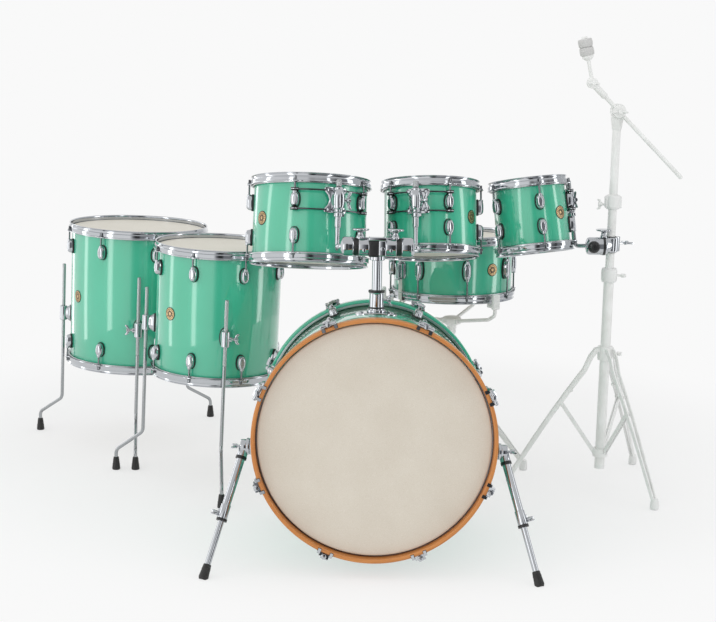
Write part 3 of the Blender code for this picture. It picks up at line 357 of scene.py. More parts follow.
def ring_nodes():
    """Geometry nodes that set a pattern round a drum, in one row or two that mirror each other."""
    tree = bpy.data.node_groups.new("set_round_a_drum", "GeometryNodeTree")
    sockets = tree.interface
    sockets.new_socket("Geometry", in_out="OUTPUT", socket_type="NodeSocketGeometry")
    for label, kind in (("Pattern", "NodeSocketObject"), ("Finish", "NodeSocketMaterial"),
            ("Count", "NodeSocketInt"), ("Radius", "NodeSocketFloat"), ("First Angle", "NodeSocketFloat"),
            ("Height", "NodeSocketFloat"), ("Both Rows", "NodeSocketBool")):
        sockets.new_socket(label, in_out="INPUT", socket_type=kind)
    given = node(tree, "NodeGroupInput").outputs
    index = node(tree, "GeometryNodeInputIndex").outputs["Index"]
    step = maths(tree, "DIVIDE", math.tau, given["Count"])
    angle = maths(tree, "MULTIPLY_ADD", index, step, given["First Angle"])
    across = maths(tree, "MULTIPLY", maths(tree, "SINE", angle), given["Radius"])
    inward = maths(tree, "MULTIPLY", given["Radius"], maths(tree, "COSINE", angle))
    toward = maths(tree, "MULTIPLY", inward, -1.0)
    lower = maths(tree, "MULTIPLY", given["Height"], -1.0)
    shape = node(tree, "GeometryNodeObjectInfo", _0=given["Pattern"]).outputs["Geometry"]
    rows = []
    for height, flip in ((given["Height"], 0.0), (lower, math.pi)):
        spot = node(tree, "ShaderNodeCombineXYZ", X=across, Y=toward, Z=height).outputs[0]
        points = node(tree, "GeometryNodePoints", Count=given["Count"], Position=spot).outputs[0]
        euler = node(tree, "ShaderNodeCombineXYZ", {"Y": flip}, Z=angle).outputs[0]
        rotation = node(tree, "FunctionNodeEulerToRotation", Euler=euler).outputs[0]
        rows.append(node(tree, "GeometryNodeInstanceOnPoints", Points=points, Instance=shape,
                         Rotation=rotation).outputs[0])
    switch = node(tree, "GeometryNodeSwitch", {"input_type": "GEOMETRY"})
    tree.links.new(given["Both Rows"], switch.inputs["Switch"])
    tree.links.new(rows[1], switch.inputs["True"])
    joined = node(tree, "GeometryNodeJoinGeometry", Geometry=rows[0])
    tree.links.new(switch.outputs[0], joined.inputs[0])
    real = node(tree, "GeometryNodeRealizeInstances", Geometry=joined.outputs[0]).outputs[0]
    dressed = node(tree, "GeometryNodeSetMaterial", Geometry=real, Material=given["Finish"]).outputs[0]
    node(tree, "NodeGroupOutput", Geometry=dressed)
    return tree


set_round = ring_nodes()


def round_the_drum(name, pattern, finish, body, place, count, radius, first, height=0.0,
                   both=False):
    """Set a pattern round a drum with the node tree, as one finished mesh."""
    bmesh.ops.recalc_face_normals(pattern, faces=pattern.faces)
    data = bpy.data.meshes.new(name + "_pattern")
    pattern.to_mesh(data)
    pattern.free()
    data.shade_smooth()
    data.set_sharp_from_angle(angle=math.radians(38))
    model = bpy.data.objects.new(name + "_pattern", data)
    holder = bpy.data.objects.new(name + "_holder", bpy.data.meshes.new(name + "_holder"))
    scene.collection.objects.link(model)
    scene.collection.objects.link(holder)
    modifier = holder.modifiers.new("Set round", "NODES")
    modifier.node_group = set_round
    values = {"Pattern": model, "Finish": finish, "Count": count, "Radius": radius, "First Angle": first,
              "Height": height, "Both Rows": both}
    for socket in set_round.interface.items_tree:
        if socket.in_out == "INPUT":
            modifier[socket.identifier] = values[socket.name]
    evaluated = holder.evaluated_get(bpy.context.evaluated_depsgraph_get())
    made = bpy.data.meshes.new_from_object(evaluated)
    bpy.data.objects.remove(holder)
    bpy.data.objects.remove(model)
    made.transform(place)
    made.name = name
    item = bpy.data.objects.new(name, made)
    scene.collection.objects.link(item)
    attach(item, body)
    return item


bright_chrome = chrome("buffed_chrome_plate")
gasket_rubber = black_rubber("black_rubber")

BASS_LUGS = 8
BASS_LUG_IN = 0.092
BASS_LUG_SIZE = (0.0125, 0.024)
BASS_FIRST = math.pi / 8
BASS_ROD_OUT = BASS_HOOP + 0.0075
for name, shape, finish, slot_name in (("bass_lugs", lug_shape(*BASS_LUG_SIZE, 0.0225,
        BASS_ROD_OUT - BASS_RADIUS), bright_chrome, "bass_shell"), ("bass_lug_gaskets",
        gasket_shape(*BASS_LUG_SIZE), gasket_rubber, None)):
    round_the_drum(name, shape, finish, "bass_drum", bass_place, BASS_LUGS, BASS_RADIUS, BASS_FIRST,
                   BASS_HALF - BASS_LUG_IN, True)


# Heads of the bass drum
# Film of clear polyester with a sprayed white coating that feels like fine sandpaper, pulled over the bearing
# edge and crimped into an aluminium ring. The front one is bare, without lettering.
def coated_film(name, light, shade):
    """Coated drum head: warm white, matt, with a sprayed grain, drawn 1.5 mm wide so that it shows."""
    material, tree, spot = new_material(name)
    cloud = ramp(tree, grains(tree, spot, 120.0, 4.0), (0.3, shade), (0.7, light))
    spray = grains(tree, spot, 1.5, 3.0, 0.7)
    speck = ramp(tree, spray, (0.35, "#F1EEE8"), (0.65, "#FFFFFF"))
    colour = node(tree, "ShaderNodeMix", {"data_type": "RGBA", "blend_type": "MULTIPLY", 0: 1.0},
                  _6=cloud, _7=speck)
    relief = bump(tree, 0.22, 0.0002, spray)
    return finished(material, {"Roughness": 0.5, "IOR": 1.48}, Base_Color=colour.outputs[2], Normal=relief)


def brushed_ring(name):
    """Extruded aluminium, left as it came from the die: grey, satin."""
    material, tree, spot = new_material(name)
    streak = node(tree, "ShaderNodeMapRange", {"To Min": 0.22, "To Max": 0.38},
                  Value=grains(tree, spot, 6.0, 3.0)).outputs["Result"]
    return finished(material, {"Base Color": linear("#B9BBBD"), "Metallic": 1.0}, Roughness=streak)


front_film = coated_film("coated_bass_drum_film", "#DAD4C9", "#D3CCC0")
head_ring = brushed_ring("extruded_aluminium")
FILM = 0.0012
FIT = 0.0003


def make_head(name, radius, ring_out, ring_top, ring_deep, half, place, body, node_name, film, steps):
    """The film with its rounded shoulder, and the ring that holds it outside the shell."""
    top = half + FIT + FILM
    mesh = bmesh.new()
    turn(mesh, [(0.0, top), (radius * 0.6, top), (radius - 0.004, top), (radius - 0.0012, top - 0.0002),
                (radius + 0.0006, top - 0.0012), (radius + 0.0012, top - 0.003),
                (radius + 0.0012, ring_top - 0.002), (radius + FIT, ring_top - 0.002),
                (radius + FIT, half - 0.001), (radius - 0.0012, half + FIT), (0.0, half + FIT)], place, steps)
    piece(name + "_film", mesh, film, body, node_name)
    mesh = bmesh.new()
    inner = radius + 0.0015
    turn(mesh, [(ring_out, ring_top), (ring_out, ring_top - ring_deep), (inner, ring_top - ring_deep),
                (inner, ring_top)], place, steps, 0.0012)
    piece(name + "_ring", mesh, head_ring, body, slot=node_name)


turned_over = spin(math.pi, "X")
for end, place in (("front", bass_place), ("batter", bass_place @ turned_over)):
    head = "bass_" + end + "_head"
    make_head(head, BASS_RADIUS, BASS_RADIUS + 0.0075, BASS_HALF - 0.0155, 0.012, BASS_HALF, place,
              "bass_drum", head, front_film, 160)


# Hoops of the bass drum
# Each is a strip of maple, bent and glued into a ring 39 mm wide. The front one is clear-lacquered, so its
# grain shows, and the batter one is sprayed green like the shell.
def lacquered_maple(name):
    """Bent maple under clear lacquer: honey orange, glossy, the grain running round the hoop."""
    material, tree, spot = new_material(name, "ShaderNodeUVMap", "UV")
    along = node(tree, "ShaderNodeMapping", {"Scale": (0.02, 1.0, 1.0)}, Vector=spot).outputs["Vector"]
    grain = grains(tree, along, 1.6, 6.0, 0.62)
    bands = grains(tree, along, 9.0, 2.0)
    blend = node(tree, "ShaderNodeMix", {"data_type": "FLOAT", 0: 0.4}, _2=grain, _3=bands).outputs[0]
    colour = ramp(tree, blend, (0.33, "#A4602A"), (0.5, "#C27D3E"), (0.68, "#D39352"))
    relief = bump(tree, 0.1, 0.0002, grain)
    coat = {"Roughness": 0.42, "IOR": 1.5, "Coat Weight": 0.15, "Coat Roughness": 0.08, "Coat IOR": 1.5}
    return finished(material, coat, Base_Color=colour, Normal=relief)


honey_maple = lacquered_maple("clear_lacquered_maple")
HOOP_WIDE = 0.039
HOOP_THICK = 0.0095
hoop_finish = {"front": honey_maple, "batter": surf_green}
for end, place in (("front", bass_place), ("batter", bass_place @ turned_over)):
    mesh = bmesh.new()
    turn(mesh, eased([(BASS_HOOP, BASS_REACH), (BASS_HOOP, BASS_REACH - HOOP_WIDE),
                      (BASS_HOOP - HOOP_THICK, BASS_REACH - HOOP_WIDE), (BASS_HOOP - HOOP_THICK, BASS_REACH)],
                     0.0028, steps=4), place, 192)
    piece("bass_" + end + "_hoop_ring", mesh, hoop_finish[end], "bass_drum", "bass_" + end + "_hoop")


# Claws and tension rods of the bass drum
# Pressed steel claws, chromed, each hooked over the hoop with two fingers on a rubber pad. The upper rods end
# in T handles that are turned by hand, and the lower ones in square key heads.
def block(mesh, size, place, bevel=0.001, segments=2):
    """A block with rounded edges."""
    made = bmesh.ops.create_cube(mesh, size=1.0, matrix=place @ Matrix.Diagonal((*size, 1.0)))
    edges = dict.fromkeys(edge for vert in made["verts"] for edge in vert.link_edges)
    bmesh.ops.bevel(mesh, geom=list(edges), offset=bevel, segments=segments, profile=0.6, affect="EDGES")


def claw_shape():
    """One claw, its origin on the hoop's outer face at the front edge, with +Z towards the front."""
    mesh = bmesh.new()
    hook = ((-0.0006, -0.03), (-0.0006, 0.0016), (0.0078, 0.0016), (0.0078, 0.004), (-0.0032, 0.004),
            (-0.005, 0.002), (-0.0042, -0.03))
    for x in (-0.0155, 0.0155):
        loft(mesh, [[Vector((x + end, y, z)) for y, z in hook] for end in (-0.0035, 0.0035)])
    rise = [(-0.0006, -0.028), (-0.0006, -0.006), (-0.012, -0.004), (-0.015, -0.007), (-0.015, -0.024),
            (-0.009, -0.029)]
    for x, narrow in ((-0.0125, 0.75), (-0.006, 1.0), (0.0, 1.05), (0.006, 1.0)):
        loft(mesh, [[Vector((x + end, y * narrow, z)) for y, z in rise] for end in (0.0, 0.0064)])
    turn(mesh, [(0.0, -0.006), (0.0066, -0.006), (0.0066, 0.0036), (0.0, 0.0036)],
         shift(0.0, -0.0075, 0.0), 20, 0.001)
    return mesh


def claw_pad_shape():
    """The rubber pads between a claw's two fingers and the hoop."""
    mesh = bmesh.new()
    for side in (-1, 1):
        block(mesh, (0.0086, 0.0012, 0.03), shift(side * 0.0155, -0.0002, -0.014), 0.0004)
        block(mesh, (0.0086, 0.0088, 0.0012), shift(side * 0.0155, 0.004, 0.0008), 0.0004)
    return mesh


def rod_shape(low, high, handle):
    """A steel rod along Z with a T handle or a square key head past the claw."""
    mesh = bmesh.new()
    turn(mesh, [(0.0, low), (0.003, low), (0.003, high), (0.0, high)], Matrix(), 14, 0.0006)
    turn(mesh, [(0.0, high - 0.004), (0.0058, high - 0.004), (0.0058, high - 0.0018), (0.0, high - 0.0018)],
         Matrix(), 18, 0.0005)
    if handle:
        turn(mesh, [(0.0, high - 0.002), (0.005, high - 0.002), (0.0042, high + 0.006),
                    (0.0054, high + 0.0135), (0.0, high + 0.0142)], Matrix(), 18, 0.0012)
        bar = shift(0, 0, high + 0.0088) @ spin(QUARTER, "Y")
        turn(mesh, [(0.0, -0.0205), (0.003, -0.02), (0.0044, -0.018), (0.0042, -0.015), (0.0034, -0.007),
                    (0.004, 0.0), (0.0034, 0.007), (0.0042, 0.015), (0.0044, 0.018), (0.003, 0.02),
                    (0.0, 0.0205)], bar, 16)
    else:
        block(mesh, (0.0062, 0.0062, 0.009), shift(0, 0, high + 0.0035), 0.0006)
    return mesh


def moved(mesh, place):
    """A mesh, moved to a place."""
    bmesh.ops.transform(mesh, matrix=place, verts=mesh.verts)
    return mesh


for end, place in (("front", bass_place), ("batter", bass_place @ turned_over)):
    slot_name = "bass_" + end + "_hoop"
    for word, shape, finish, slotted in (("_claws", claw_shape(), bright_chrome, slot_name),
                                         ("_claw_pads", claw_pad_shape(), gasket_rubber, None)):
        round_the_drum("bass_" + end + word, shape, finish, "bass_drum", place, BASS_LUGS, BASS_HOOP,
                       BASS_FIRST, BASS_REACH)
    for word, handle in (("handles", True), ("keys", False)):
        rods = bmesh.new()
        for i in range(BASS_LUGS):
            angle = BASS_FIRST + math.tau * i / BASS_LUGS
            upper = (math.cos(angle) < 0) if end == "front" else (math.cos(math.pi - angle) < 0)
            if upper != handle:
                continue
            one = rod_shape(BASS_HALF - BASS_LUG_IN + 0.024, BASS_REACH + 0.0036, handle)
            spot = spin(angle, "Z") @ shift(0, -BASS_ROD_OUT, 0)
            moved(one, place @ spot)
            data = bpy.data.meshes.new("rod")
            one.to_mesh(data)
            one.free()
            rods.from_mesh(data)
            bpy.data.meshes.remove(data)
        piece("bass_{}_rod_{}".format(end, word), rods, bright_chrome, "bass_drum", slot=slot_name)


# Spurs of the bass drum
# Two chromed steel tubes that fold on die-cast brackets. A thinner leg slides in each, held by a clamp with a
# wing bolt, and ends in a rubber foot; a T handle locks the bracket.
def bent(points, radius, steps=8):
    """A path with its inner corners replaced by arcs."""
    points = [Vector(point) for point in points]
    path = [points[0]]
    for before, corner, after in zip(points, points[1:], points[2:]):
        into = (corner - before).normalized()
        out = (after - corner).normalized()
        angle = into.angle(out)
        back = radius * math.tan(angle / 2)
        centre = corner + (out - into).normalized() * (radius / math.cos(angle / 2))
        axis = into.cross(out).normalized()
        for i in range(steps + 1):
            path.append(centre + Matrix.Rotation(angle * i / steps, 3, axis)
                        @ (corner - into * back - centre))
    path.append(points[-1])
    return path


def rod_along(mesh, path, radius, sides=16, place=Matrix(), squash=1.0):
    """A round bar along a path, its ends slightly rounded. The UV map is metres round it and along it."""
    uv = mesh.loops.layers.uv.verify()
    path = [Vector(point) for point in path]
    first = (path[1] - path[0]).normalized()
    last = (path[-1] - path[-2]).normalized()
    ease = radius * 0.35
    path = [path[0], path[0] + first * ease] + path[1:-1] + [path[-1] - last * ease, path[-1]]
    sizes = [radius * 0.72] + [radius] * (len(path) - 2) + [radius * 0.72]
    side = first.orthogonal().normalized()
    rings = []
    run = 0.0
    for i, (point, size) in enumerate(zip(path, sizes)):
        ahead = path[min(i + 1, len(path) - 1)] - path[max(i - 1, 0)]
        ahead.normalize()
        side = (side - ahead * side.dot(ahead)).normalized()
        up = ahead.cross(side)
        if i:
            run += (point - path[i - 1]).length
        ring = []
        for k in range(sides):
            turned = math.tau * k / sides
            ring.append(mesh.verts.new(place @ (point + side * math.cos(turned) * size
                                                + up * math.sin(turned) * size * squash)))
        rings.append((ring, run))
    for (low, below), (high, above) in zip(rings, rings[1:]):
        for k in range(sides):
            face = mesh.faces.new([low[k], low[(k + 1) % sides], high[(k + 1) % sides], high[k]])
            spots = ((k, below), (k + 1, below), (k + 1, above), (k, above))
            for loop, (column, along) in zip(face.loops, spots):
                loop[uv].uv = (math.tau * radius * column / sides, along)
    mesh.faces.new(rings[0][0])
    mesh.faces.new(rings[-1][0])


def drum_of(mesh, radius, low, high, place, steps=28, ease=0.0008, waist=None):
    """A turned stub between two heights, with eased edges and a waist if one is given."""
    outline = [(0.0, low), (radius, low), (radius, high), (0.0, high)]
    if waist:
        outline[2:2] = [(waist, low + (high - low) * 0.35), (waist, low + (high - low) * 0.65)]
    turn(mesh, outline, place, steps, ease)


def wing_bolt(mesh, place, reach=0.022, stem=0.012, thick=0.0045):
    """A cast wing bolt along +Z: a stem, a hub and two lobes that rise past it."""
    drum_of(mesh, 0.0034, 0.0, stem, place, 14)
    drum_of(mesh, 0.0058, stem - 0.002, stem + 0.009, place, 20, 0.0012)
    for side in (-1, 1):
        rings = []
        for t, half, lift in ((0.0, 0.0042, 0.0025), (0.3, 0.0038, 0.004), (0.6, 0.0048, 0.0062),
                              (0.85, 0.005, 0.0082), (1.0, 0.003, 0.0092)):
            x = side * (0.003 + (reach / 2 - 0.003) * t)
            centre = stem + lift
            slim = thick / 2 * (1.0 if t < 1.0 else 0.55)
            rings.append([place @ Vector((x, slim * math.cos(a), centre + half * math.sin(a)))
                          for a in (math.tau * k / 10 for k in range(10))])
        loft(mesh, rings)


def teeth(mesh, place, count, out, height, size, bevel=0.0003):
    """A ring of small teeth round Z."""
    for k in range(count):
        tooth = place @ spin(math.tau * k / count, "Z") @ shift(out, 0.0, height)
        block(mesh, size, tooth, bevel, 1)


def upward(height):
    """A step straight up."""
    return Vector((0.0, 0.0, height))


def facing(place, axis):
    """A frame at a place whose Z lies along an axis."""
    return Matrix.Translation(place) @ Vector(axis).to_track_quat("Z", "Y").to_matrix().to_4x4()


def moulded_nylon(name, deep, pale):
    """Glass-filled nylon, moulded: semi-matt, with a faint spark-eroded texture 1 mm across."""
    material, tree, spot = new_material(name)
    tone = ramp(tree, grains(tree, spot, 12.0, 2.0), (0.35, deep), (0.7, pale))
    skin = bump(tree, 0.12, 0.0002, grains(tree, spot, 1.0, 2.0))
    return finished(material, {"Roughness": 0.34, "IOR": 1.53}, Base_Color=tone, Normal=skin)


black_nylon = moulded_nylon("black_moulded_nylon", "#18191A", "#222324")
SPUR_ALONG = BASS_REACH - 0.112
SPUR_PIVOT_HEIGHT = 0.288
SPUR_FOOT_X = 0.402
SPUR_FOOT_Y = -0.041
SPUR_HEIGHT = (SPUR_PIVOT_HEIGHT - (bass_place @ upward(SPUR_ALONG)).z) / math.cos(BASS_TILT)
for side, spur in ((-1, "spur_left"), (1, "spur_right")):
    pivot = (bass_place @ shift(side * (BASS_RADIUS + 0.0243), SPUR_HEIGHT, SPUR_ALONG)
             @ spin(side * QUARTER, "Y"))
    start = pivot @ upward(0.012)
    foot = on_floor(side * SPUR_FOOT_X, SPUR_FOOT_Y)
    line = facing(start, foot - start)
    reach = (foot - start).length
    bracket = bmesh.new()
    for radius, low, high in ((0.0205, -0.034, -0.016), (0.0165, -0.017, -0.006), (0.0205, -0.0075, -0.0004)):
        drum_of(bracket, radius, low, high, pivot, 40, 0.002)
    teeth(bracket, pivot, 20, 0.0185, -0.0012, (0.0034, 0.0022, 0.0022), 0.0004)
    piece(spur + "_bracket", bracket, bright_chrome, "bass_drum", slot="bass_shell")
    gasket = bmesh.new()
    turn(gasket, [(0.0, -0.046), (0.0245, -0.046), (0.0245, -0.0215), (0.0, -0.0215)], pivot, 40, 0.0015)
    piece(spur + "_gasket", gasket, gasket_rubber, "bass_drum", slot="bass_shell")
    tube = bmesh.new()
    drum_of(tube, 0.0205, 0.0004, 0.0075, pivot, 40, 0.0014)
    drum_of(tube, 0.0175, 0.006, 0.0225, pivot, 36, 0.004)
    rod_along(tube, [(0, 0, -0.012), (0, 0, 0.17)], 0.0105, 24, line)
    drum_of(tube, 0.0128, 0.004, 0.028, line, 28, 0.0012)
    drum_of(tube, 0.0122, 0.15, 0.185, line, 28, 0.0012)
    clamp = line @ shift(0.0, 0.0, 0.172) @ spin(math.pi, "Z")
    block(tube, (0.02, 0.017, 0.02), clamp @ shift(-0.004 * side, 0.0, 0.0), 0.003, 3)
    wing_bolt(tube, pivot @ shift(0, 0, 0.02), 0.04, 0.012, 0.006)
    out = facing(clamp.translation + Vector((side * 0.01, 0.0, 0.0)), (side, 0.0, 0.25))
    wing_bolt(tube, out, 0.024, 0.008)
    piece(spur + "_tube_chrome", tube, bright_chrome, spur, spur + "_tube")
    collar = bmesh.new()
    drum_of(collar, 0.0134, 0.1845, 0.1915, line, 28, 0.001)
    drum_of(collar, 0.0136, 0.026, 0.034, line, 28, 0.001)
    piece(spur + "_rings", collar, black_nylon, spur, slot=spur + "_tube")
    leg = bmesh.new()
    rod_along(leg, [(0, 0, 0.125), (0, 0, reach - 0.012)], 0.0078, 20, line)
    piece(spur + "_leg_chrome", leg, bright_chrome, spur + "_leg", spur + "_leg")
    shoe = bmesh.new()
    tip = line @ shift(0, 0, reach - 0.0065)
    turn(shoe, [(0.0, -0.03), (0.0094, -0.03), (0.0104, -0.02), (0.0112, -0.018), (0.0106, -0.016),
                (0.0122, 0.002), (0.01, 0.0085), (0.0, 0.0085)], tip, 30, 0.0016)
    for vert in shoe.verts:
        vert.co.z = max(vert.co.z, 0.0002)
    piece(spur + "_foot", shoe, gasket_rubber, spur + "_leg", slot=spur + "_leg")


# Tom holder
# A chromed steel post that slides in a sleeve on top of the bass drum. The cast head on it has a black nylon
# block and two ball receivers with nylon liners, each locked by a wide knob on a waisted stem.
POST_ALONG = BASS_REACH - 0.272
HOLDER = 0.168
facing_out = spin(QUARTER, "X")
post_foot = bass_place @ shift(0.0, BASS_RADIUS, POST_ALONG) @ spin(-QUARTER, "X")
base = bmesh.new()
rings = []
for x in [0.052 * (k / 8 - 1) for k in range(17)]:
    wide = 0.03 * math.sqrt(1 - (abs(x) / 0.0545) ** 2.6) + 0.002
    drop = math.sqrt(BASS_RADIUS ** 2 - x ** 2) - BASS_RADIUS
    edge = ((-wide, 0.0), (wide, 0.0), (wide, 0.0024), (wide - 0.001, 0.0034), (0.001 - wide, 0.0034),
            (-wide, 0.0024))
    rings.append([Vector((x, y, drop + z)) for y, z in edge])
loft(base, rings, post_foot)
drum_of(base, 0.0245, 0.002, 0.01, post_foot, 40, 0.003)
turn(base, [(0.0, 0.008), (0.02, 0.008), (0.0182, 0.016), (0.0178, 0.05), (0.0192, 0.053), (0.0, 0.054)],
     post_foot, 40, 0.002)
wing_bolt(base, post_foot @ shift(0.016, 0.0, 0.034) @ spin(QUARTER, "Y"),
          0.03, 0.012, 0.005)
for x in (0.038, -0.038):
    drop = math.sqrt(BASS_RADIUS ** 2 - x ** 2) - BASS_RADIUS
    spot = post_foot @ shift(x, 0.0, drop) @ spin(math.asin(x / BASS_RADIUS), "Y")
    drum_of(base, 0.0062, 0.002, 0.0062, spot, 20, 0.0016)
    block(base, (0.0032, 0.001, 0.002), spot @ shift(0, 0, 0.0056), 0.0003, 1)
piece("tom_holder_base", base, bright_chrome, "bass_drum", slot="bass_shell")
liner = bmesh.new()
drum_of(liner, 0.0208, 0.0525, 0.059, post_foot, 40, 0.0014)
drum_of(liner, 0.0205, 0.012, 0.0165, post_foot, 40, 0.001)
piece("tom_holder_base_rings", liner, black_nylon, "bass_drum", slot="bass_shell")


def ball_receiver(metal, dark, place, start, band, end):
    """A chromed clamp, a nylon band and a chromed cup along +Z. The cup is hollow round the arm's ball."""
    turn(metal, [(0.0, start), (0.0225, start), (0.0238, start + 0.003), (0.0238, band - 0.002),
                 (0.0222, band), (0.0, band)], place, 40, 0.0012)
    turn(dark, [(0.0, band - 0.001), (0.0228, band - 0.001), (0.0228, band + 0.0125), (0.0, band + 0.0125)],
         place, 40, 0.0008)
    cup = band + 0.012
    turn(metal, [(0.0, cup), (0.0222, cup), (0.0245, cup + 0.003), (0.0245, end - 0.009),
                 (0.0225, end - 0.004), (0.0165, end), (0.0095, end), (0.0095, end - 0.004),
                 (0.0142, end - 0.008), (0.0142, cup + 0.004), (0.0, cup + 0.003)], place, 40, 0.001)


def holder_knob(mesh, place):
    """A flat round knob on a stem that is narrow in the middle."""
    turn(mesh, [(0.0, 0.019), (0.012, 0.019), (0.0105, 0.025), (0.0072, 0.031), (0.007, 0.035),
                (0.0095, 0.0385), (0.0205, 0.0405), (0.0222, 0.0425), (0.0218, 0.045), (0.015, 0.0462),
                (0.0, 0.0466)], place, 44, 0.0014)


middle = post_foot @ shift(0, 0, HOLDER)
post = bmesh.new()
dark = bmesh.new()
rod_along(post, [(0, 0, -0.095), (0, 0, HOLDER)], 0.0126, 28, post_foot)
block(post, (0.046, 0.046, 0.009), middle @ shift(0.0, 0.0, 0.0205), 0.003, 4)
block(post, (0.02, 0.044, 0.04), middle @ shift(0.012, 0.0, -0.003), 0.004, 4)
drum_of(post, 0.0195, -0.034, -0.022, middle, 36, 0.003)
drum_of(post, 0.0052, 0.0205, 0.0262, middle @ shift(0.012, 0.0, -0.004) @ facing_out, 24, 0.0012)
block(dark, (0.027, 0.047, 0.041), middle @ shift(-0.0095, 0.0, -0.0045), 0.005, 4)
for side in (-1, 1):
    turned_out = middle @ spin(side * QUARTER, "Y")
    ball_receiver(post, dark, turned_out, 0.02, 0.048, 0.093)
    block(dark, (0.005, 0.002, 0.015), middle @ shift(side * 0.077, -0.024, 0.0), 0.0006, 1)
    drum_of(post, 0.0044, 0.0225, 0.0262, middle @ shift(side * 0.034, 0.0, -0.008) @ facing_out, 20, 0.001)
    holder_knob(post, middle @ shift(side * 0.044, 0.0, 0.0))
piece("tom_post_chrome", post, bright_chrome, "tom_holder", "tom_post")
piece("tom_holder_block", dark, black_nylon, "tom_holder", slot="tom_post")


# Shells of the toms and the snare drum
# The same thin maple tubes in the same green: rack toms of 8, 10 and 12 inches, floor toms of 14 and 16 and
# the snare drum of 14. Each is built round its own axis, and stands where its stand or its legs hold it.
def leaning(x, y, height, lean_x, lean_y):
    """A drum's frame at a place, tipped so that its axis leans by the given slopes."""
    tip = upward(1.0).rotation_difference(Vector((lean_x, lean_y, 1.0)))
    return Matrix.Translation(on_floor(x, y, height)) @ tip.to_matrix().to_4x4()


INCH = 0.0254
TOM_WALL = 0.006
drums = {}
# Name, inches across and deep, rods, angle of the first rod, then x, y and height on the floor, and the lean
for name, wide, deep, count, first, *stand in (
        ("tom12", 12, 8, 5, -12.7, -0.181, 0.58, 0.781, 0.012, 0.22),
        ("tom10", 10, 7, 5, 19.6, 0.147, 0.672, 0.784, -0.018, 0.247),
        ("tom8", 8, 7, 5, 9.4, 0.431, 0.744, 0.79, -0.132, 0.18),
        ("floor14", 14, 14, 8, -17.9, -0.45, 0.84, 0.493, 0.033, 0.006),
        ("floor16", 16, 16, 8, -22.9, -0.737, 1.21, 0.467, 0.028, 0.012),
        ("snare", 14, 6.5, 8, 9.7, 0.237, 1.07, 0.601, -0.013, 0.035)):
    drums[name] = (wide * INCH / 2, deep * INCH / 2, count, math.radians(first), leaning(*stand))
for name, (radius, half, count, first, place) in drums.items():
    make_shell(name, radius, half, TOM_WALL, place, name, name + "_shell", 128)


# Lugs of the toms and the snare drum
# Smaller chromed oval lugs on black gaskets, two rows to a tom. The snare drum has one row of taller ones at
# its middle, which take a rod at both ends.
TOM_LUG = 0.0225
SNARE_LUG = 0.031
TOM_ROD_OUT = 0.0125
TOM_LUG_IN = 0.055
for name, (radius, half, count, first, place) in drums.items():
    both = name != "snare"
    size = (0.0118, (TOM_LUG if both else SNARE_LUG) - 0.0015)
    height = half - TOM_LUG_IN if both else 0.0
    for word, shape, finish, slot_name in (
            ("_lugs", lug_shape(*size, 0.019, TOM_ROD_OUT, not both), bright_chrome, name + "_shell"),
            ("_lug_gaskets", gasket_shape(*size), gasket_rubber, None)):
        round_the_drum(name + word, shape, finish, name, place, count, radius, first, height, both)


# Heads of the toms and the snare drum
# The same sprayed white film, brighter on these, in aluminium rings. The film turns down over the bearing
# edge.
tom_film = coated_film("coated_tom_film", "#DEDBD2", "#D7D4CA")
for name, (radius, half, count, first, place) in drums.items():
    for end, turned in (("batter", place), ("bottom", place @ turned_over)):
        head = name + "_" + end + "_head"
        make_head(head, radius, radius + 0.006, half - 0.0006, 0.0112, half, turned, name, head,
                  tom_film, 128)


# Hoops of the toms and the snare drum
# Triple-flanged steel hoops, chromed: a rolled bead on top, a wall, a step over the head's ring, and a skirt
# that turns out into an ear round every tension rod.
# Distance out from the shell and height over the hoop's seat
HOOP_OUTLINE = ((0.0035, 0.001), (0.0035, 0.0092), (0.0038, 0.0112), (0.0046, 0.0127), (0.006, 0.0135),
                (0.0074, 0.0133), (0.0083, 0.0122), (0.008, 0.011), (0.007, 0.0105), (0.0062, 0.0096),
                (0.0059, 0.008), (0.0059, 0.004), (0.0064, 0.0029), (0.0084, 0.0025), (0.0095, 0.0019),
                (0.0099, 0.0006), (0.0099, -0.0066), (0.0102, -0.008), (0.011, -0.0087), (0.0118, -0.0089),
                (0.0121, -0.01), (0.0116, -0.011), (0.0092, -0.0108), (0.0079, -0.0096), (0.0075, -0.008),
                (0.0075, -0.0008), (0.0068, 0.0001), (0.0046, 0.0003))
# The points of the outline that go out into an ear, and how far
EAR_POINTS = {18: 0.4, 19: 1.0, 20: 1.0, 21: 1.0}
HOOP_LIFT = 0.0018
for name, (radius, half, count, first, place) in drums.items():
    profile = [(radius + out, half + HOOP_LIFT + rise) for out, rise in HOOP_OUTLINE]
    for end, turned in (("batter", place), ("bottom", place @ turned_over)):
        lead = first if end == "batter" else math.pi - first

        def eared(angle, k, out, height):
            """The skirt, pushed out into an ear near each rod."""
            share = EAR_POINTS.get(k, 0.0)
            if not share:
                return out, height
            pitch = math.tau / count
            off = abs((angle - lead + pitch / 2) % pitch - pitch / 2) * radius
            rise = min(1.0, max(0.0, (0.0165 - off) / 0.0085))
            return out + share * 0.0064 * rise * rise * (3 - 2 * rise), height

        mesh = bmesh.new()
        turn(mesh, profile, turned, 240, edge=eared)
        hoop = name + "_" + end + "_hoop"
        piece(hoop + "_chrome", mesh, bright_chrome, name, hoop, sharp=50)


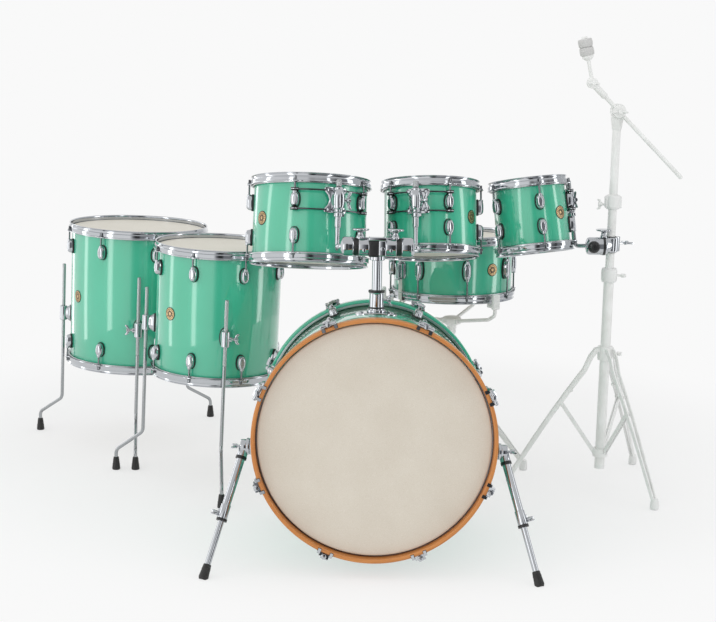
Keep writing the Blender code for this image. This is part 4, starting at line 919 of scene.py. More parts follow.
# Tension rods of the toms and the snare drum
# Chromed steel rods with square key heads and a washer on the hoop's ear. They screw into the lugs.
def key_rod(low, ear):
    """A rod along Z from its lug up through the ear, with its washer and key head."""
    mesh = bmesh.new()
    drum_of(mesh, 0.0026, low, ear + 0.002, Matrix(), 12, 0.0005)
    drum_of(mesh, 0.0061, ear + 0.0001, ear + 0.0013, Matrix(), 20, 0.0004)
    turn(mesh, [(0.0, ear + 0.001), (0.005, ear + 0.001), (0.0052, ear + 0.0035), (0.0043, ear + 0.0052),
                (0.0, ear + 0.0056)], Matrix(), 20, 0.0007)
    block(mesh, (0.006, 0.006, 0.0088), shift(0, 0, ear + 0.0088), 0.0006)
    return mesh


plated_rod = chrome("plated_steel_rod", 0.09, "#85888B")
EAR_DROP = 0.0089
for name, (radius, half, count, first, place) in drums.items():
    low = SNARE_LUG - 0.002 if name == "snare" else half - TOM_LUG_IN + TOM_LUG - 0.004
    round_the_drum(name + "_rods", key_rod(low, half + HOOP_LIFT - EAR_DROP), plated_rod, name, place, count,
                   radius + TOM_ROD_OUT, first, 0.0, True)


# Badges
# A thin stamped brass disc in the middle of each shell, round the air vent: a bright rim and centre, and a
# dark enamelled ring with plain raised beads. It carries no lettering.
def wrapped(mesh, radius):
    """Bend a flat plate in the XZ plane, whose rise is -Y, round a drum of the given radius."""
    for vert in mesh.verts:
        angle = vert.co.x / radius
        out = radius - vert.co.y
        vert.co = Vector((out * math.sin(angle), -out * math.cos(angle), vert.co.z))
    return mesh


def stamped_brass(name, tone, roughness):
    """Stamped brass under a clear coat: warm gold with fine tarnish in patches of 5 mm."""
    material, tree, spot = new_material(name)
    tarnish = ramp(tree, grains(tree, spot, 5.0, 4.0), (0.35, "#A08559"), (0.6, tone))
    relief = bump(tree, 0.2, 0.0002, grains(tree, spot, 1.2, 2.0))
    return finished(material, {"Metallic": 1.0, "Roughness": roughness}, Base_Color=tarnish, Normal=relief)


def fired_enamel(name):
    """Brown-black enamel, fired into the stamping: glossy, with a slight mottle."""
    material, tree, spot = new_material(name)
    mottle = ramp(tree, grains(tree, spot, 2.5, 3.0), (0.35, "#23160F"), (0.7, "#3A261A"))
    return finished(material, {"Roughness": 0.24, "IOR": 1.55}, Base_Color=mottle)


badge_brass = stamped_brass("stamped_brass", "#CFB48A", 0.36)
dark_enamel = fired_enamel("fired_brown_enamel")
# Degrees round each drum from its front
BADGE_ANGLES = {"floor16": -53.4, "floor14": -43.5, "tom12": -53.5, "tom10": 58.2, "tom8": 46.5,
                "snare": 37.4}
for name, angle in BADGE_ANGLES.items():
    radius, half, count, first, place = drums[name]
    spot = place @ spin(math.radians(angle), "Z")
    plate = bmesh.new()
    turn(plate, [(0.0, 0.0016), (0.0042, 0.0015), (0.0046, 0.0008), (0.009, 0.0008), (0.0094, 0.0014),
                 (0.0162, 0.0015), (0.0166, 0.0009), (0.018, 0.0008), (0.018, -0.0004), (0.0, -0.0004)],
         facing_out, 48)
    for k in range(10):
        bead = spin(math.tau * k / 10, "Y") @ shift(0.0069, -0.001, 0.0)
        drum_of(plate, 0.0009, -0.0008, 0.0006, bead @ facing_out, 10, 0.0003)
    moved(wrapped(plate, radius), spot)
    piece(name + "_badge", plate, badge_brass, name, slot=name + "_shell")
    field = bmesh.new()
    for inner, outer in ((0.0044, 0.0096), (0.016, 0.0186)):
        turn(field, [(inner, -0.0002), (inner, 0.0012), (outer, 0.0012), (outer, -0.0002)], facing_out, 48)
    for k in range(16):
        mark = spin(math.tau * (k + 0.5) / 16, "Y") @ shift(0.0128, -0.0012, 0.0)
        drum_of(field, 0.0014, -0.0006, 0.0006, mark @ facing_out, 10, 0.0003)
    moved(wrapped(field, radius), spot)
    piece(name + "_badge_enamel", field, dark_enamel, name)


# Suspension brackets and arms of the rack toms
# A chromed plate on two thin bars that hang from rubber grommets at two neighbouring rods, with a barrel for
# the arm and a wing bolt. The arm is a bent steel rod whose ball sits in the tom holder or the multi-clamp.
def smallest_after(angles, angle):
    """The first of some angles that comes after a given one, round the drum."""
    return min(a for a in (x + t for x in angles for t in (-math.tau, 0.0, math.tau)) if a > angle)


def at_angle(angle, out, height):
    """A frame beside a drum's axis at an angle, with its -Y pointing away from the axis."""
    return spin(angle, "Z") @ shift(0.0, -out, height)


KNURL_MM = 1.6


def knurled_steel(name):
    """Rolled knurling on chromed steel, grey from a distance, its ridges 1.6 mm apart so that they show. Its
    grooves are painted darker than its ridges, as painted shade.
    """
    material, tree, spot = new_material(name, "ShaderNodeUVMap", "UV")
    rows = []
    for tilt in (-30.0, 30.0):
        slanted = node(tree, "ShaderNodeMapping", {"Rotation": (0.0, 0.0, math.radians(tilt))}, Vector=spot)
        wave = node(tree, "ShaderNodeTexWave", {"Scale": 1000.0 / KNURL_MM / math.tau * 3.14,
                                                "Distortion": 0.0}, Vector=slanted.outputs["Vector"])
        rows.append(wave.outputs["Fac"])
    height = maths(tree, "MINIMUM", *rows)
    # Painted shade: the ramp darkens the knurl's grooves against its ridges, as if the ridges shaded the
    # hollows.
    tone = ramp(tree, height, (0.05, "#9DA0A2"), (0.6, "#E3E5E6"))
    relief = bump(tree, 0.6, 0.0004, height)
    return finished(material, {"Metallic": 1.0, "Roughness": 0.34}, Base_Color=tone, Normal=relief)


knurl = knurled_steel("knurled_chromed_steel")
# The thin bracket bars are chromed like the rest; their dark grey tone is a painted dark reflection, not a
# smoked finish.
bar_chrome_painted_dark = chrome("chrome_bar_painted_dark_reflection", 0.12, "#5C5F62")
BALL_RADIUS = 0.013
PLATE_OUTLINE = ((-0.033, 0.027), (-0.0318, 0.031), (-0.025, 0.0328), (-0.013, 0.0225), (0.0, 0.0175),
                 (0.013, 0.0225), (0.025, 0.0328), (0.0318, 0.031), (0.033, 0.027))
PLATE_SECTION = ((-1.0, 0.009), (-0.6, 0.0087), (0.6, 0.0087), (1.0, 0.009), (1.0, 0.012), (0.86, 0.014),
                 (0.3, 0.0146), (-0.3, 0.0146), (-0.86, 0.014), (-1.0, 0.012))
# Half width, half height and distance out of each ring of the bracket's dome
DOME_RINGS = ((0.016, 0.0308, 0.012), (0.0164, 0.0312, 0.02), (0.016, 0.0308, 0.03), (0.0146, 0.0288, 0.037),
              (0.0114, 0.024, 0.0415), (0.0072, 0.0168, 0.044), (0.0034, 0.008, 0.0448))
post_top = post_foot @ upward(HOLDER)
side_way = (post_foot.to_3x3() @ Vector((1.0, 0.0, 0.0))) * 0.08
clamp_ball = on_floor(0.617, 0.762, 0.708)
# Degrees round the drum, the ball's place, the side where the arm leaves the ball, the wing bolt's side
brackets = {"tom12": (25.5, post_top - side_way, -1, 1), "tom10": (-17.0, post_top + side_way, 1, 1),
            "tom8": (113.0, clamp_ball, -1, -1)}
for name, (angle, ball, leaves, wing_side) in brackets.items():
    radius, half, count, first, place = drums[name]
    high = half - TOM_LUG_IN
    angle = math.radians(angle)
    after = smallest_after([first + math.tau * i / count for i in range(count)], angle)
    before = after - math.tau / count
    barrel = place @ at_angle(angle, radius + 0.028, high)
    metal = bmesh.new()
    rubber = bmesh.new()
    bars = bmesh.new()
    for side in (-1, 1):
        height = high + side * (TOM_LUG + 0.0028)
        arc = [place @ at_angle(before + (after - before) * i / 24, radius + TOM_ROD_OUT, height).translation
               for i in range(25)]
        rod_along(bars, arc, 0.0023, 12)
        for end in (before, after):
            spot = place @ at_angle(end, radius + TOM_ROD_OUT, height)
            for below in (-0.0036, 0.0012):
                drum_of(rubber, 0.0106, below, below + 0.0024, spot, 24, 0.0006)
            drum_of(metal, 0.0102, -0.0012, 0.0012, spot, 24, 0.0005)
    rings = []
    for z, half_wide in PLATE_OUTLINE:
        rings.append([at_angle(angle + x * half_wide / (radius + 0.011), radius + out, high + z).translation
                      for x, out in PLATE_SECTION])
    loft(metal, rings, place)
    dome = place @ at_angle(angle, radius, high)
    loft(metal, [oval_ring(half_wide, half_tall, out, power=2.6) for half_wide, half_tall,
                 out in DOME_RINGS], dome)
    turn(metal, [(0.0066, -0.0325), (0.0105, -0.0325), (0.0118, -0.031), (0.0118, 0.031), (0.0105, 0.0325),
                 (0.0066, 0.0325)], barrel, 36, 0.0008)
    wing_turn = spin(wing_side * QUARTER, "Y")
    drum_of(metal, 0.0082, 0.01, 0.018, barrel @ wing_turn, 24, 0.0014)
    wing_bolt(metal, barrel @ shift(wing_side * 0.015, 0.0, 0.0) @ wing_turn, 0.046, 0.01, 0.0062)
    for x in (-0.0235, 0.0235):
        for z in (-0.0255, 0.0255):
            bolt = place @ at_angle(angle + x / (radius + 0.011), radius + 0.0142, high + z) @ facing_out
            drum_of(metal, 0.0036, -0.0005, 0.002, bolt, 16, 0.0009)
    piece(name + "_bracket_chrome", metal, bright_chrome, name, name + "_bracket")
    # The bars' darker chrome stands in for the dark room they reflect: a painted reflection.
    piece(name + "_bracket_bars", bars, bar_chrome_painted_dark, name, slot=name + "_bracket")
    piece(name + "_grommets", rubber, gasket_rubber, name, slot=name + "_bracket")
    arm = bmesh.new()
    beside = ball + Vector((leaves * 0.022, 0.0, 0.0))
    corner = barrel @ upward(-0.128)
    neck = barrel @ upward(0.034)
    rod_along(arm, bent([ball, beside, corner, neck], 0.014, 10), 0.0062, 20)
    bmesh.ops.create_uvsphere(arm, u_segments=32, v_segments=20, radius=BALL_RADIUS,
                              matrix=Matrix.Translation(ball))
    piece(name + "_arm_chrome", arm, bright_chrome, name + "_arm", name + "_arm")
    upper = bmesh.new()
    rod_along(upper, [upward(0.0335), upward(0.053)], 0.0078, 28, barrel)
    piece(name + "_arm_knurl", upper, knurl, name + "_arm", slot=name + "_arm")
    stop = bmesh.new()
    turn(stop, [(0.0063, -0.0445), (0.0112, -0.0445), (0.0118, -0.043), (0.0118, -0.035), (0.0112, -0.0338),
                (0.0063, -0.0338)], barrel, 32, 0.001)
    turn(stop, [(0.0063, -0.072), (0.008, -0.072), (0.0088, -0.069), (0.0088, -0.044), (0.0063, -0.044)],
         barrel, 32, 0.001)
    key_bolt = barrel @ shift(wing_side * 0.0112, 0.0, -0.0392)
    block(stop, (0.01, 0.008, 0.008), key_bolt, 0.0014, 2)
    piece(name + "_arm_stop", stop, bright_chrome, name + "_arm", slot=name + "_arm")


# Legs and leg brackets of the floor toms
# Three bent steel legs to a drum, chromed, their upper half knurled so that the bracket grips. Each bracket
# is a chromed block on an oval gasket, with a wing bolt, and each leg stands in a tapered rubber foot.
LEG_RADIUS = 0.0052
LEG_GRIP = 0.128
LEG_TOP = 0.553
LEG_BEND = 0.125
# Each leg's bracket in degrees round the drum, its foot's distance and angle, the wing bolt's side
leg_sets = {
    "floor14": (("left", -86.0, 0.3, -92.3, -1), ("front", 11.5, 0.335, 7.3, 1),
                ("rear", 140.0, 0.315, 147.0, 1)),
    "floor16": (("left", -91.0, 0.331, -101.9, -1), ("front", 9.2, 0.358, 7.0, -1),
                ("rear", 141.0, 0.345, 144.0, 1))}
GASKET_OVALS = ((0.0146, 0.0278, -0.0015), (0.0146, 0.0278, 0.0036), (0.0136, 0.0268, 0.0044))
BRACKET_OVALS = ((0.0128, 0.0258, 0.004), (0.0128, 0.0258, 0.006), (0.0112, 0.024, 0.0092),
                 (0.009, 0.0205, 0.0135), (0.0086, 0.0195, 0.022), (0.007, 0.018, 0.024))
leg_chrome = chrome("brushed_chrome_rod", 0.14, "#A6A9AB")
for name, legs in leg_sets.items():
    radius, half, count, first, place = drums[name]
    height = LEG_GRIP - half
    axis = place.to_3x3().col[2]
    centre = place.translation
    metal = bmesh.new()
    rubber = bmesh.new()
    for word, angle, out, foot_angle, wing_side in legs:
        spot = place @ at_angle(math.radians(angle), radius, height)
        grip = place @ at_angle(math.radians(angle), radius + 0.027, height)
        wing_turn = spin(wing_side * QUARTER, "Y")
        for mesh, ovals in ((rubber, GASKET_OVALS), (metal, BRACKET_OVALS)):
            loft(mesh, [oval_ring(*oval) for oval in ovals], spot)
        turn(metal, [(0.0057, -0.0225), (0.01, -0.0225), (0.0116, -0.0205), (0.0116, 0.0205), (0.01, 0.0225),
                     (0.0057, 0.0225)], grip, 36, 0.0009)
        drum_of(metal, 0.0075, 0.006, 0.0185, grip @ wing_turn, 24, 0.002)
        wing_bolt(metal, grip @ shift(wing_side * 0.015, 0.0, 0.0) @ wing_turn, 0.03, 0.011, 0.005)
        home = at_angle(math.radians(foot_angle), out, 0.0).translation + Vector((centre.x, centre.y, 0.0))
        at_grip = grip.translation
        rod = [at_grip + axis * ((z - at_grip.z) / axis.z) for z in (LEG_TOP, LEG_BEND)]
        split = at_grip + axis * (-0.075 / axis.z)
        slide = "{}_leg_{}".format(name, word)
        leg = bmesh.new()
        rod_along(leg, bent([split, rod[1], home + upward(0.06), home + upward(0.012)], 0.024, 10),
                  LEG_RADIUS, 20)
        piece(slide + "_chrome", leg, leg_chrome, slide, slide)
        upper = bmesh.new()
        rod_along(upper, [rod[0], split - axis * 0.002], LEG_RADIUS + 0.00015, 24)
        piece(slide + "_knurl", upper, knurl, slide, slot=slide)
        shoe = bmesh.new()
        turn(shoe, [(0.0, 0.0002), (0.0112, 0.0002), (0.012, 0.003), (0.0108, 0.015), (0.0112, 0.0165),
                    (0.0102, 0.018), (0.0086, 0.033), (0.0074, 0.0385), (0.0, 0.0385)],
             Matrix.Translation(home), 32, 0.0013)
        piece(slide + "_foot", shoe, gasket_rubber, slide, slot=slide)
    piece(name + "_leg_brackets", metal, bright_chrome, name, slot=name + "_shell", sharp=38)
    piece(name + "_leg_gaskets", rubber, gasket_rubber, name, slot=name + "_shell")


# Strainer, butt plate and wires of the snare drum
# A die-cast strainer with a lever that lets the wires down, and a plain butt plate across the drum. Twenty
# coiled steel wires are soldered to an end plate at each side and lie under the lower head.
SNARE_RADIUS, SNARE_HALF, count, first, snare_place = drums["snare"]
STRAINER = math.radians(-58.0)
PLATE_OVALS = ((0.015, 0.0255, 0.0006), (0.015, 0.0255, 0.004), (0.0138, 0.0243, 0.0062))
LEVER_RINGS = ((-0.0015, 0.0052, 0.002, 0.0), (0.002, 0.0072, 0.0026, 0.0), (0.012, 0.0062, 0.0024, 0.0003),
               (0.026, 0.0056, 0.0023, 0.0006), (0.036, 0.0066, 0.0024, 0.0012),
               (0.043, 0.0086, 0.0025, 0.0024), (0.0465, 0.008, 0.0018, 0.0034))
for angle, label in ((STRAINER, "strainer"), (STRAINER + math.pi, "butt")):
    spot = snare_place @ at_angle(angle, SNARE_RADIUS, -0.008)
    metal = bmesh.new()
    loft(metal, [oval_ring(*oval, points=36, power=5.0) for oval in PLATE_OVALS])
    block(metal, (0.0225, 0.012, 0.042), shift(0.0, -0.011, -0.001), 0.003, 4)
    for z in (-0.0205, 0.0205):
        drum_of(metal, 0.0034, 0.0055, 0.0082, shift(0.0, 0.0, z) @ facing_out, 16, 0.001)
    if label == "strainer":
        knob = shift(0.0, -0.0115, 0.0)
        drum_of(metal, 0.0056, 0.02, 0.033, knob, 24, 0.0012)
        teeth(metal, knob, 16, 0.0056, 0.0275, (0.001, 0.0012, 0.009))
    block(metal, (0.019, 0.01, 0.004), shift(0.0, -0.0105, -0.025), 0.001, 2)
    moved(metal, spot)
    piece("snare_" + label, metal, bright_chrome, "snare", slot="snare_shell")
lever_place = snare_place @ at_angle(STRAINER, SNARE_RADIUS + 0.0218, -0.034)
lever = bmesh.new()
rings = []
for z, half_wide, half_deep, out in LEVER_RINGS:
    ring = oval_ring(half_wide, half_deep, 0.0, points=20, power=3.0)
    rings.append([Vector((point.x, point.z - out, z)) for point in ring])
loft(lever, rings)
drum_of(lever, 0.0034, -0.0098, 0.0098, spin(QUARTER, "Y"), 20, 0.0008)
moved(lever, lever_place)
piece("snare_lever_chrome", lever, bright_chrome, "snare_throw", "snare_throw_lever")

across = snare_place @ spin(STRAINER + QUARTER, "Z")
under = -(SNARE_HALF + HOOP_LIFT)
WIRES = 20
COIL = 0.00075
COIL_STEPS = 720
wires = bmesh.new()
for row in range(WIRES):
    y = (row - (WIRES - 1) / 2) * 0.002
    path = []
    for k in range(COIL_STEPS + 1):
        angle = math.tau * k / 6
        path.append(Vector((-0.135 + 0.27 * k / COIL_STEPS, y + COIL * math.cos(angle),
                            under - 0.0014 + COIL * math.sin(angle))))
    rod_along(wires, path, 0.00034, 3, across)
for x in (-0.142, 0.142):
    block(wires, (0.018, 0.0415, 0.0012), across @ shift(x, 0.0, under - 0.0014), 0.0004, 1)
piece("snare_wires_steel", wires, bright_chrome, "snare", "snare_wires", sharp=60)
straps = bmesh.new()
beside_shell = SNARE_RADIUS + 0.0115
strap_bends = ((0.144, under - 0.003), (0.16, under - 0.0034), (SNARE_RADIUS + 0.004, under - 0.015),
               (beside_shell, under - 0.012), (beside_shell, -0.034))
for side in (-1, 1):
    path = [Vector((side * x, 0.0, z)) for x, z in strap_bends]
    for a, b in zip(path, path[1:]):
        run = b - a
        middle = Matrix.Translation((a + b) / 2) @ run.to_track_quat("Z", "Y").to_matrix().to_4x4()
        block(straps, (0.0007, 0.018, run.length + 0.0006), across @ middle, 0.0002, 1)
milky_nylon = moulded_nylon("milky_nylon_strip", "#C6C5BF", "#D3D2CC")
piece("snare_straps", straps, milky_nylon, "snare", slot="snare_wires")


# Snare stand
# A tubular steel tripod with a three-armed basket, in a pale satin powder coat. The arms' tips hold the snare
# drum's lower hoop from outside, each with a ledge under it.
def powder_coat(name, pale, shade):
    """Satin powder coat over steel tube: near-white, soft sheen, with a fine orange peel 1.5 mm across."""
    material, tree, spot = new_material(name)
    tone = ramp(tree, grains(tree, spot, 40.0, 3.0), (0.3, shade), (0.7, pale))
    peel = bump(tree, 0.08, 0.0002, grains(tree, spot, 1.5, 1.0))
    return finished(material, {"Roughness": 0.42, "IOR": 1.5}, Base_Color=tone, Normal=peel)


satin_white = powder_coat("satin_white_powder_coat", "#ECEDEC", "#E1E2E0")
pale_nylon = powder_coat("pale_moulded_nylon", "#E8E9E8", "#DEDFDE")


def flat_bar(mesh, path, wide, thick, side_axis):
    """A flat bar with rounded edges along a path, its width along one axis."""
    side_axis = Vector(side_axis).normalized()
    rings = []
    for i, point in enumerate(path):
        ahead = (path[min(i + 1, len(path) - 1)] - path[max(i - 1, 0)]).normalized()
        up = side_axis.cross(ahead).normalized()
        ring = []
        for x, y in ((-1, -0.45), (-0.72, -1), (0.72, -1), (1, -0.45), (1, 0.45), (0.72, 1),
                     (-0.72, 1), (-1, 0.45)):
            ring.append(point + side_axis * x * wide / 2 + up * y * thick / 2)
        rings.append(ring)
    loft(mesh, rings)


def tripod(name, home, tube, top, collar, crown, hub, foot_out, first_leg):
    """The centre tube with its collars, three double-railed legs, their braces and feet."""
    metal = bmesh.new()
    soft = bmesh.new()
    upright = Matrix.Translation(home)
    turn(metal, [(tube - 0.0022, 0.06), (tube, 0.06), (tube, top - collar * 0.5),
                 (tube - 0.0022, top - collar * 0.5)], upright, 36, 0.0006)
    band = ((-0.001, -0.5), (0.007, -0.5), (0.0078, -0.2), (0.0078, 0.2), (0.007, 0.5), (-0.001, 0.5))
    for height, tall in ((crown, 0.04), (hub, 0.024)):
        turn(metal, [(tube + out, height + tall * share) for out, share in band], upright, 36, 0.0014)
    turn(soft, [(tube - 0.0018, top - collar), (tube + 0.006, top - collar),
                (tube + 0.0082, top - collar * 0.8), (tube + 0.0082, top - collar * 0.2),
                (tube + 0.0062, top), (tube - 0.0018, top)], upright, 36, 0.0014)
    drum_of(soft, tube + 0.0005, 0.05, 0.06, upright, 32, 0.0012)
    wing = upright @ spin(first_leg + 0.9, "Z") @ shift(0.0, -tube - 0.007, 0.0) @ facing_out
    for height in (crown, top - collar / 2):
        wing_bolt(metal, shift(0, 0, height) @ wing, 0.036, 0.014, 0.0055)
    for k in range(3):
        angle = first_leg + math.tau * k / 3
        turned = upright @ spin(angle, "Z")
        foot = Vector((0.0, -foot_out, 0.021))
        head = Vector((0.0, -tube - 0.006, crown))
        for side in (-1, 1):
            start = Vector((side * 0.011, -tube - 0.001, crown + 0.01))
            path = [start, Vector((side * 0.0115, -tube - 0.012, crown + 0.008)),
                    Vector((side * 0.0112, -tube - 0.026, crown - 0.012))]
            for t in (0.14, 0.3, 0.5, 0.7, 0.85, 1.0):
                spread = 0.011 * (1 - t) + 0.0042 * t
                bow = 0.006 * math.sin(math.pi * min(1.0, t * 1.05))
                spot = head.lerp(foot, t)
                path.append(Vector((side * spread, spot.y - bow, spot.z + bow * 0.4)))
            flat_bar(metal, [turned @ point for point in path], 0.0048, 0.012, turned.to_3x3().col[0])
        for t in (0.3, 0.985):
            spot = head.lerp(foot, t)
            rivet = turned @ Matrix.Translation(spot) @ spin(QUARTER, "Y")
            drum_of(metal, 0.004, -0.0155 * (1 - t * 0.55), 0.0155 * (1 - t * 0.55), rivet, 16, 0.001)
        meet = head.lerp(foot, (head.z - 2.45 * hub) / (head.z - foot.z))
        inner = Vector((0.0, -tube - 0.004, hub))
        for side in (-1, 1):
            beside = Vector((side * 0.0042, 0.0, 0.0))
            flat_bar(metal, [turned @ (point + beside) for point in (inner, inner.lerp(meet, 0.5), meet)],
                     0.0028, 0.011, turned.to_3x3().col[0])
        for spot in (inner, meet):
            rivet = turned @ Matrix.Translation(spot) @ spin(QUARTER, "Y")
            drum_of(metal, 0.0038, -0.0105, 0.0105, rivet, 16, 0.001)
        block(metal, (0.009, 0.013, 0.018), turned @ Matrix.Translation(inner
                                                                        + Vector((0, 0.003, 0))), 0.002, 2)
        shoe = turned @ shift(0.0, -foot_out, 0.0)
        turn(soft, [(0.0, 0.0002), (0.0106, 0.0002), (0.0122, 0.004), (0.0122, 0.015), (0.0112, 0.024),
                    (0.0098, 0.031), (0.0, 0.0325)], shoe, 28, 0.002)
    piece(name + "_tripod", metal, satin_white, name, name + "_base")
    piece(name + "_collars_and_feet", soft, pale_nylon, name, slot=name + "_base")


rim = -(SNARE_HALF + 0.0153)
snare_hub = snare_place @ upward(rim - 0.075)
snare_home = Vector((snare_hub.x, snare_hub.y, 0.0))
tripod("snare_stand", snare_home, tube=0.0127, top=0.335, collar=0.036, crown=0.25, hub=0.085,
       foot_out=0.255, first_leg=math.radians(60))
basket = bmesh.new()
grips = bmesh.new()
rod_along(basket, [snare_home + upward(0.185), snare_home + upward(snare_hub.z)], 0.0094, 24)
hub_place = Matrix.Translation(snare_hub)
turn(basket, [(0.0, -0.016), (0.014, -0.016), (0.022, -0.01), (0.029, -0.004), (0.029, 0.008), (0.022, 0.012),
              (0.0, 0.012)], hub_place, 40, 0.003)
drum_of(basket, 0.0135, -0.04, -0.014, hub_place, 30, 0.002)
wing_bolt(basket, hub_place @ shift(0.0, 0.01, -0.028) @ spin(-QUARTER, "X"), 0.034, 0.012)
arm_out = SNARE_RADIUS + 0.027
arm_bends = ((0.02, rim - 0.075), (arm_out - 0.03, rim - 0.05), (arm_out, rim - 0.034),
             (arm_out, rim - 0.006))
for k in range(3):
    angle = math.radians(34.5) + math.tau * k / 3
    path = [snare_place @ at_angle(angle, out, height).translation for out, height in arm_bends]
    rod_along(basket, bent(path, 0.016, 6), 0.0054, 18)
    root = snare_place @ at_angle(angle, 0.024, rim - 0.075)
    block(basket, (0.018, 0.02, 0.016), root, 0.003, 3)
    tip = snare_place @ at_angle(angle, arm_out, rim)
    block(grips, (0.025, 0.011, 0.044), tip @ shift(0.0, -0.0024, 0.0065), 0.0036, 4)
    block(grips, (0.021, 0.031, 0.0105), tip @ shift(0.0, 0.0105, -0.0062), 0.0026, 3)
    for step in range(6):
        rib = tip @ shift(0.0, -0.0079, -0.008 + 0.0055 * step)
        block(grips, (0.02, 0.0012, 0.0022), rib, 0.0005, 1)
piece("snare_basket_arms", basket, satin_white, "snare_basket", "snare_stand_basket")
piece("snare_basket_tips", grips, pale_nylon, "snare_basket", slot="snare_stand_basket")


# Boom stand
# The same pale tripod under a two-stage tube, with a boom on a toothed tilter. The boom carries a cymbal
# sleeve between grey felts, and no cymbal.
def wool_felt(name):
    """Pressed wool felt: soft grey, dead matt, with fibres 1 mm wide that catch the light."""
    material, tree, spot = new_material(name)
    fibre = grains(tree, spot, 1.0, 6.0, 0.75)
    tone = ramp(tree, fibre, (0.3, "#B7B7B6"), (0.7, "#D3D3D2"))
    relief = bump(tree, 0.5, 0.0005, fibre)
    return finished(material, {"Roughness": 0.95, "IOR": 1.4, "Sheen Weight": 0.3}, Base_Color=tone,
                    Normal=relief)


grey_felt = wool_felt("pressed_grey_felt")
boom_home = on_floor(0.667, 0.803)
boom_up = Matrix.Translation(boom_home)
tripod("boom_stand", boom_home, tube=0.0143, top=0.64, collar=0.04, crown=0.393, hub=0.098,
       foot_out=0.258, first_leg=math.radians(28))
column = bmesh.new()
clamps = bmesh.new()
BOOM_HIGH = 1.084
for low, high, radius, sides in ((0.44, 0.832, 0.0121, 28), (0.825, BOOM_HIGH, 0.0117, 24)):
    rod_along(column, [boom_home + upward(low), boom_home + upward(high)], radius, sides)
turn(clamps, [(0.011, 0.809), (0.0178, 0.809), (0.0205, 0.815), (0.0205, 0.843), (0.018, 0.849),
              (0.011, 0.849)], boom_up, 36, 0.0014)
block(clamps, (0.047, 0.024, 0.034), boom_up @ shift(0.0005, 0.0, 0.829), 0.004, 3)
wing_bolt(column, boom_up @ shift(-0.022, 0.0, 0.822) @ spin(-QUARTER, "Y"),
          0.03, 0.01, 0.0055)
pivot = boom_up @ shift(0.0, 0.0, BOOM_HIGH)
along_y = pivot @ spin(QUARTER, "X")
drum_of(column, 0.02, -0.013, 0.006, along_y, 40, 0.002)
drum_of(column, 0.0212, 0.005, 0.0136, along_y, 40, 0.001)
teeth(column, along_y, 24, 0.0178, 0.0136, (0.0052, 0.0018, 0.0012))
turn(column, [(0.0, -0.052), (0.013, -0.052), (0.0185, -0.016), (0.015, -0.004), (0.0, -0.004)],
     pivot, 32, 0.002)
piece("boom_stand_column", column, satin_white, "boom_tube", "boom_stand_tube")
piece("boom_stand_column_clamp", clamps, pale_nylon, "boom_tube", slot="boom_stand_tube")

BOOM_LEAN = math.radians(44.6)
BOOM_NOSE = -0.109
BOOM_TAIL = 0.259
boom_pivot = pivot @ shift(0.0, -0.026, 0.0)
tail = Vector((math.cos(BOOM_LEAN), 0.0, -math.sin(BOOM_LEAN)))
nose = boom_pivot @ (tail * BOOM_NOSE)
boom = bmesh.new()
rod_along(boom, [nose, boom_pivot @ (tail * BOOM_TAIL)], 0.0059, 20)
hub_turn = boom_pivot @ spin(QUARTER, "X")
drum_of(boom, 0.0212, -0.0119, -0.006, hub_turn, 40, 0.001)
drum_of(boom, 0.018, -0.007, 0.011, hub_turn, 36, 0.003)
wing_bolt(boom, hub_turn @ shift(0.0, 0.0, 0.008), 0.042, 0.014, 0.006)
grip = boom_pivot @ spin(BOOM_LEAN, "Y")
block(boom, (0.03, 0.018, 0.018), grip, 0.004, 3)
sleeve = Matrix.Translation(nose) @ spin(math.radians(-13), "Y")
nose_turn = Matrix.Translation(nose) @ spin(QUARTER, "X")
drum_of(boom, 0.015, -0.0145, -0.0015, nose_turn, 36, 0.0015)
drum_of(boom, 0.015, 0.001, 0.012, nose_turn, 36, 0.0015)
rod_along(boom, [nose, boom_pivot @ (tail * -0.055)], 0.0095, 24)
teeth(boom, nose_turn, 18, 0.0128, 0.0, (0.0034, 0.0016, 0.003))
wing_bolt(boom, nose_turn @ shift(0.0, 0.0, 0.01), 0.032, 0.01, 0.005)
for low, high, radius, sides in ((0.0, 0.09, 0.0052, 18), (0.085, 0.127, 0.0036, 16)):
    rod_along(boom, [sleeve @ upward(low), sleeve @ upward(high)], radius, sides)
turn(boom, [(0.0, 0.064), (0.0085, 0.064), (0.016, 0.0715), (0.016, 0.0775), (0.0, 0.0775)],
     sleeve, 32, 0.0012)
drum_of(boom, 0.008, 0.1225, 0.129, sleeve, 24, 0.0014)
piece("boom_arm_steel", boom, satin_white, "boom", "boom_arm")
felts = bmesh.new()
for low, high in ((0.077, 0.0998), (0.1002, 0.123)):
    turn(felts, [(0.0037, low), (0.019, low), (0.0204, (low + high) / 2), (0.019, high), (0.0037, high)],
         sleeve, 40, 0.003)
piece("boom_felts", felts, grey_felt, "boom", slot="boom_arm")


# Multi-clamp of the small tom
# Cast jaws, chromed, that grip the boom stand's tube. The receiver lies across them, with a black nylon cap
# in front of the arm's ball, a knob on top and a wing bolt behind.
clamp_place = on_floor(0.667, 0.803, 0.708)
reach = (clamp_ball - clamp_place).length
aim = facing(clamp_place, clamp_ball - clamp_place)
ring_place = Matrix.Translation(clamp_place)
metal = bmesh.new()
dark = bmesh.new()
turn(metal, [(0.0128, -0.0215), (0.019, -0.0215), (0.0208, -0.017), (0.0208, 0.017), (0.019, 0.0215),
             (0.0128, 0.0215)], ring_place, 40, 0.0016)
turn(metal, [(0.0, 0.015), (0.0205, 0.015), (0.0232, 0.021), (0.0232, reach - 0.022), (0.02, reach - 0.016),
             (0.0, reach - 0.016)], aim, 40, 0.0016)
block(metal, (0.016, 0.044, 0.026), aim @ shift(0.0, 0.0, -0.0185), 0.004, 3)
jaw_bolt = aim @ shift(0, 0, -0.026) @ spin(math.pi, "X")
wing_bolt(metal, jaw_bolt, 0.044, 0.036, 0.007)
across_ball = facing(clamp_ball, (-1.0, 0.0, 0.0))
